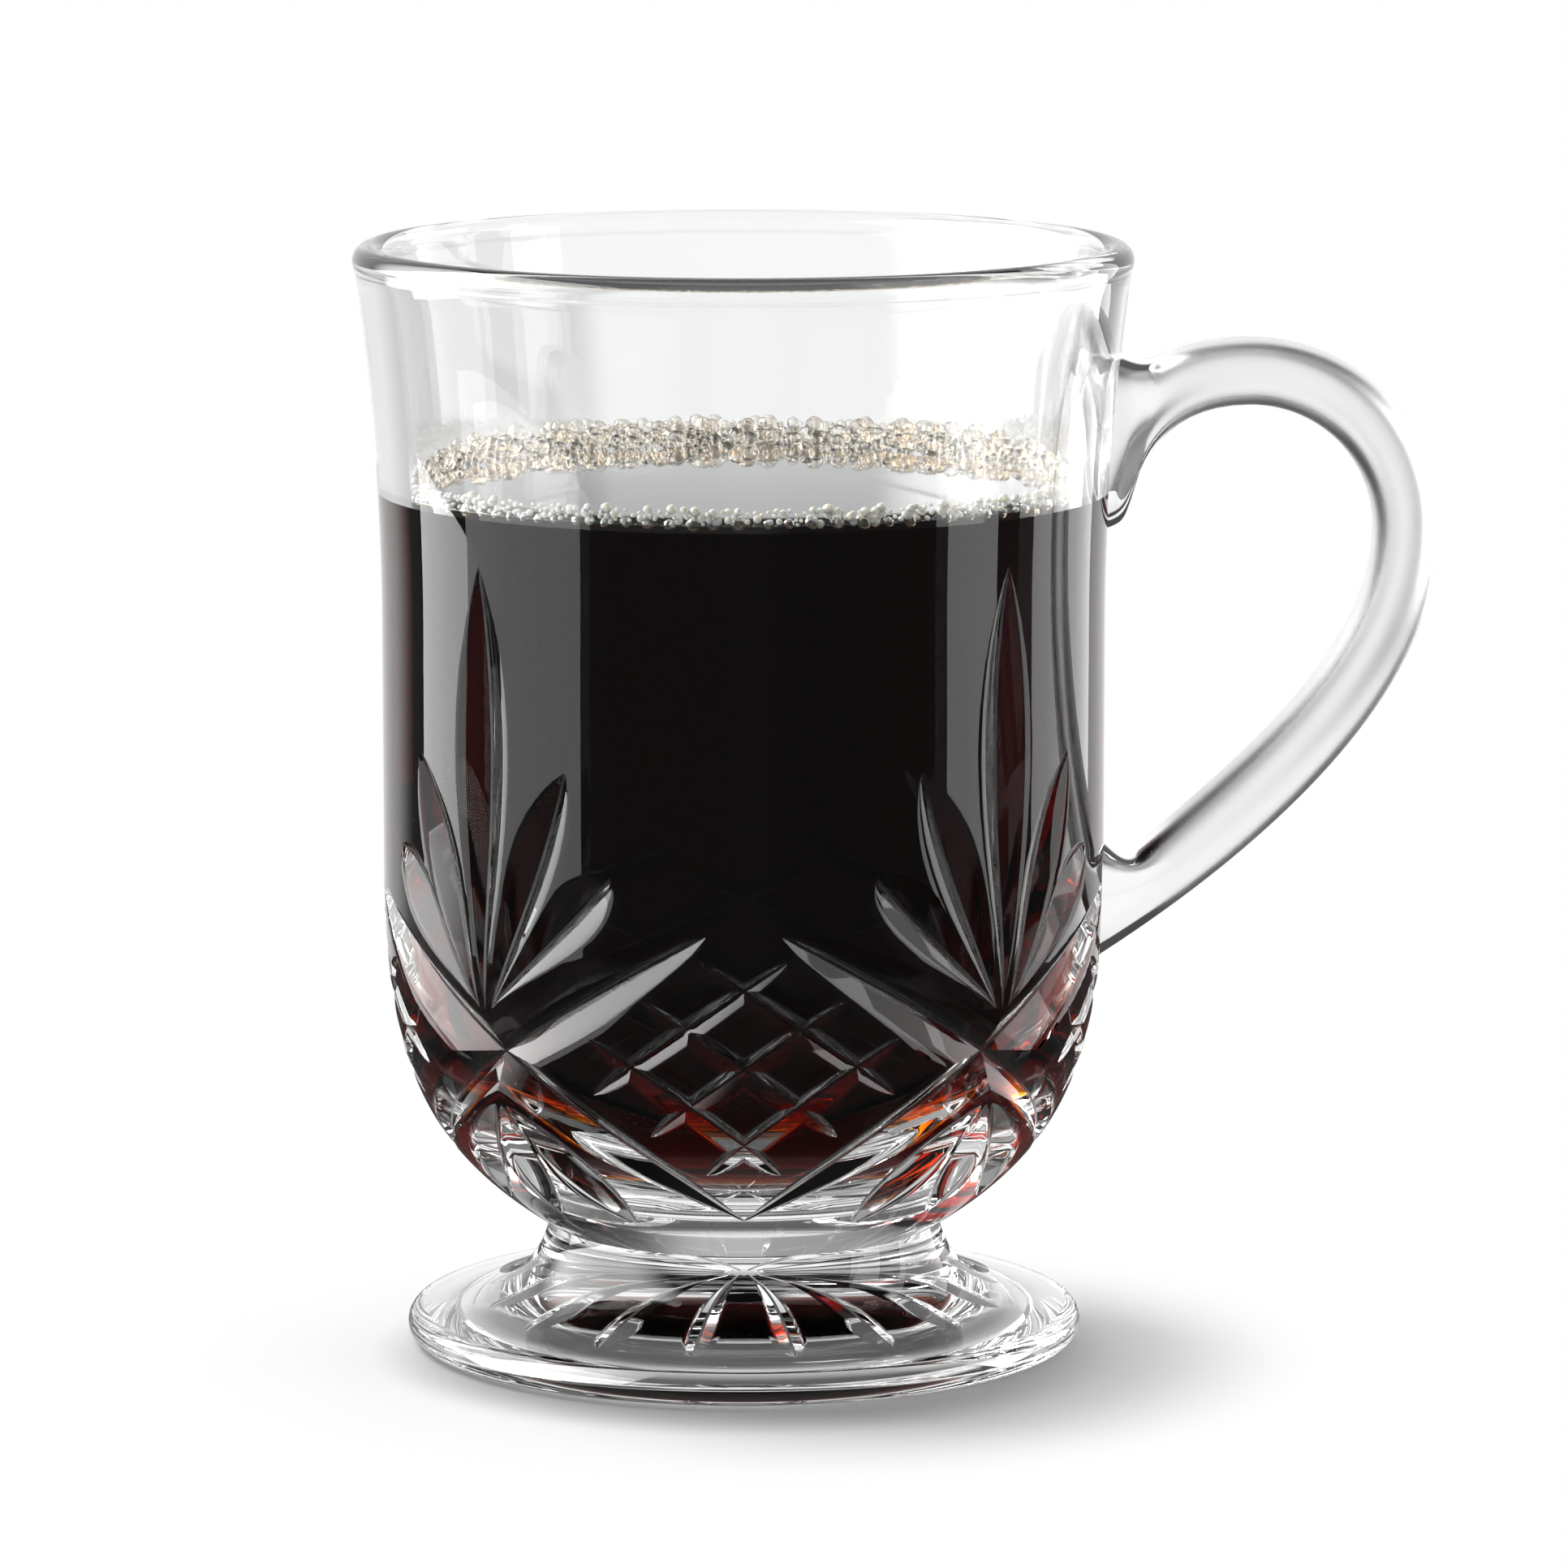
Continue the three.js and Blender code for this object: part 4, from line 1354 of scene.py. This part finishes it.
def photo_camera(stage):
    """The camera at the photograph's angle."""
    lens = bpy.data.cameras.new("photo_camera")
    lens.lens = stage.lens
    lens.sensor_width = SENSOR_WIDTH
    lens.clip_start, lens.clip_end = NEAREST, FARTHEST
    camera = bpy.data.objects.new("photo_camera", lens)
    aim = Vector((stage.aim_aside, 0, stage.aim_height))
    camera.location = Vector((
        0, -stage.distance * math.cos(stage.pitch),
        stage.aim_height + stage.distance * math.sin(stage.pitch),
    ))
    camera.rotation_euler = (aim - camera.location).to_track_quat("-Z", "Y").to_euler()
    bpy.context.scene.collection.objects.link(camera)
    return camera


class MUG_OT_stage(bpy.types.Operator):
    """Set the camera, the white table and the soft lamps"""

    bl_idname = "mug.stage"
    bl_label = "Set Stage"

    def execute(self, context):
        scene = context.scene
        stage = scene.mug_stage
        scene.camera = photo_camera(stage)
        rim = [(stage.table_radius * math.cos(a), stage.table_radius * math.sin(a), -TABLE_DROP)
               for a in np.linspace(0, 2 * math.pi, TABLE_SEGMENTS + 1)[:-1]]
        table = new_piece("table", rim, [tuple(range(len(rim)))])
        table.data.materials.append(table_finish())
        light_mug()
        scene.cycles.max_bounces = BOUNCES
        scene.cycles.transmission_bounces = BOUNCES
        scene.cycles.glossy_bounces = GLOSSY_BOUNCES
        scene.world = studio_world()
        scene.view_settings.view_transform = "Standard"
        return {"FINISHED"}


class MUG_PT_panel(bpy.types.Panel):
    """The mug's pieces, in the order they are made"""

    bl_idname = "MUG_PT_panel"
    bl_label = "Footed Mug"
    bl_space_type = "VIEW_3D"
    bl_region_type = "UI"
    bl_category = "Footed Mug"

    def draw(self, context):
        scene = context.scene
        for operator in OPERATORS:
            self.layout.operator(operator.bl_idname)
        for name in GROUPS:
            group = getattr(scene, name)
            box = self.layout.box()
            box.label(text=group.bl_rna.name)
            for key in group.bl_rna.properties.keys():
                if key not in ("rna_type", "name"):
                    box.prop(group, key, text=key.replace("_", " ").capitalize())


GROUPS = {
    "mug_bowl": BowlSizes, "mug_cut": CutSizes, "mug_foot": FootSizes, "mug_handle": HandleSizes,
    "mug_drink": DrinkSizes, "mug_finishes": Finishes, "mug_stage": StageSizes,
}
OPERATORS = (MUG_OT_bowl, MUG_OT_foot, MUG_OT_handle, MUG_OT_coffee, MUG_OT_froth, MUG_OT_stage)


def register():
    """Adds the classes and their settings."""
    for group in GROUPS.values():
        bpy.utils.register_class(group)
    for operator in OPERATORS:
        bpy.utils.register_class(operator)
    bpy.utils.register_class(MUG_PT_panel)
    for name, group in GROUPS.items():
        setattr(bpy.types.Scene, name, bpy.props.PointerProperty(type=group))


def unregister():
    """Removes the settings and the classes."""
    for name in GROUPS:
        delattr(bpy.types.Scene, name)
    bpy.utils.unregister_class(MUG_PT_panel)
    for operator in reversed(OPERATORS):
        bpy.utils.unregister_class(operator)
    for group in reversed(GROUPS.values()):
        bpy.utils.unregister_class(group)


def main():
    """Makes the mug and its stage."""
    register()
    bpy.ops.mug.stage()
    bpy.ops.mug.bowl()
    bpy.ops.mug.foot()
    bpy.ops.mug.handle()
    bpy.ops.mug.coffee()
    bpy.ops.mug.froth()


if __name__ == "__main__":
    main()
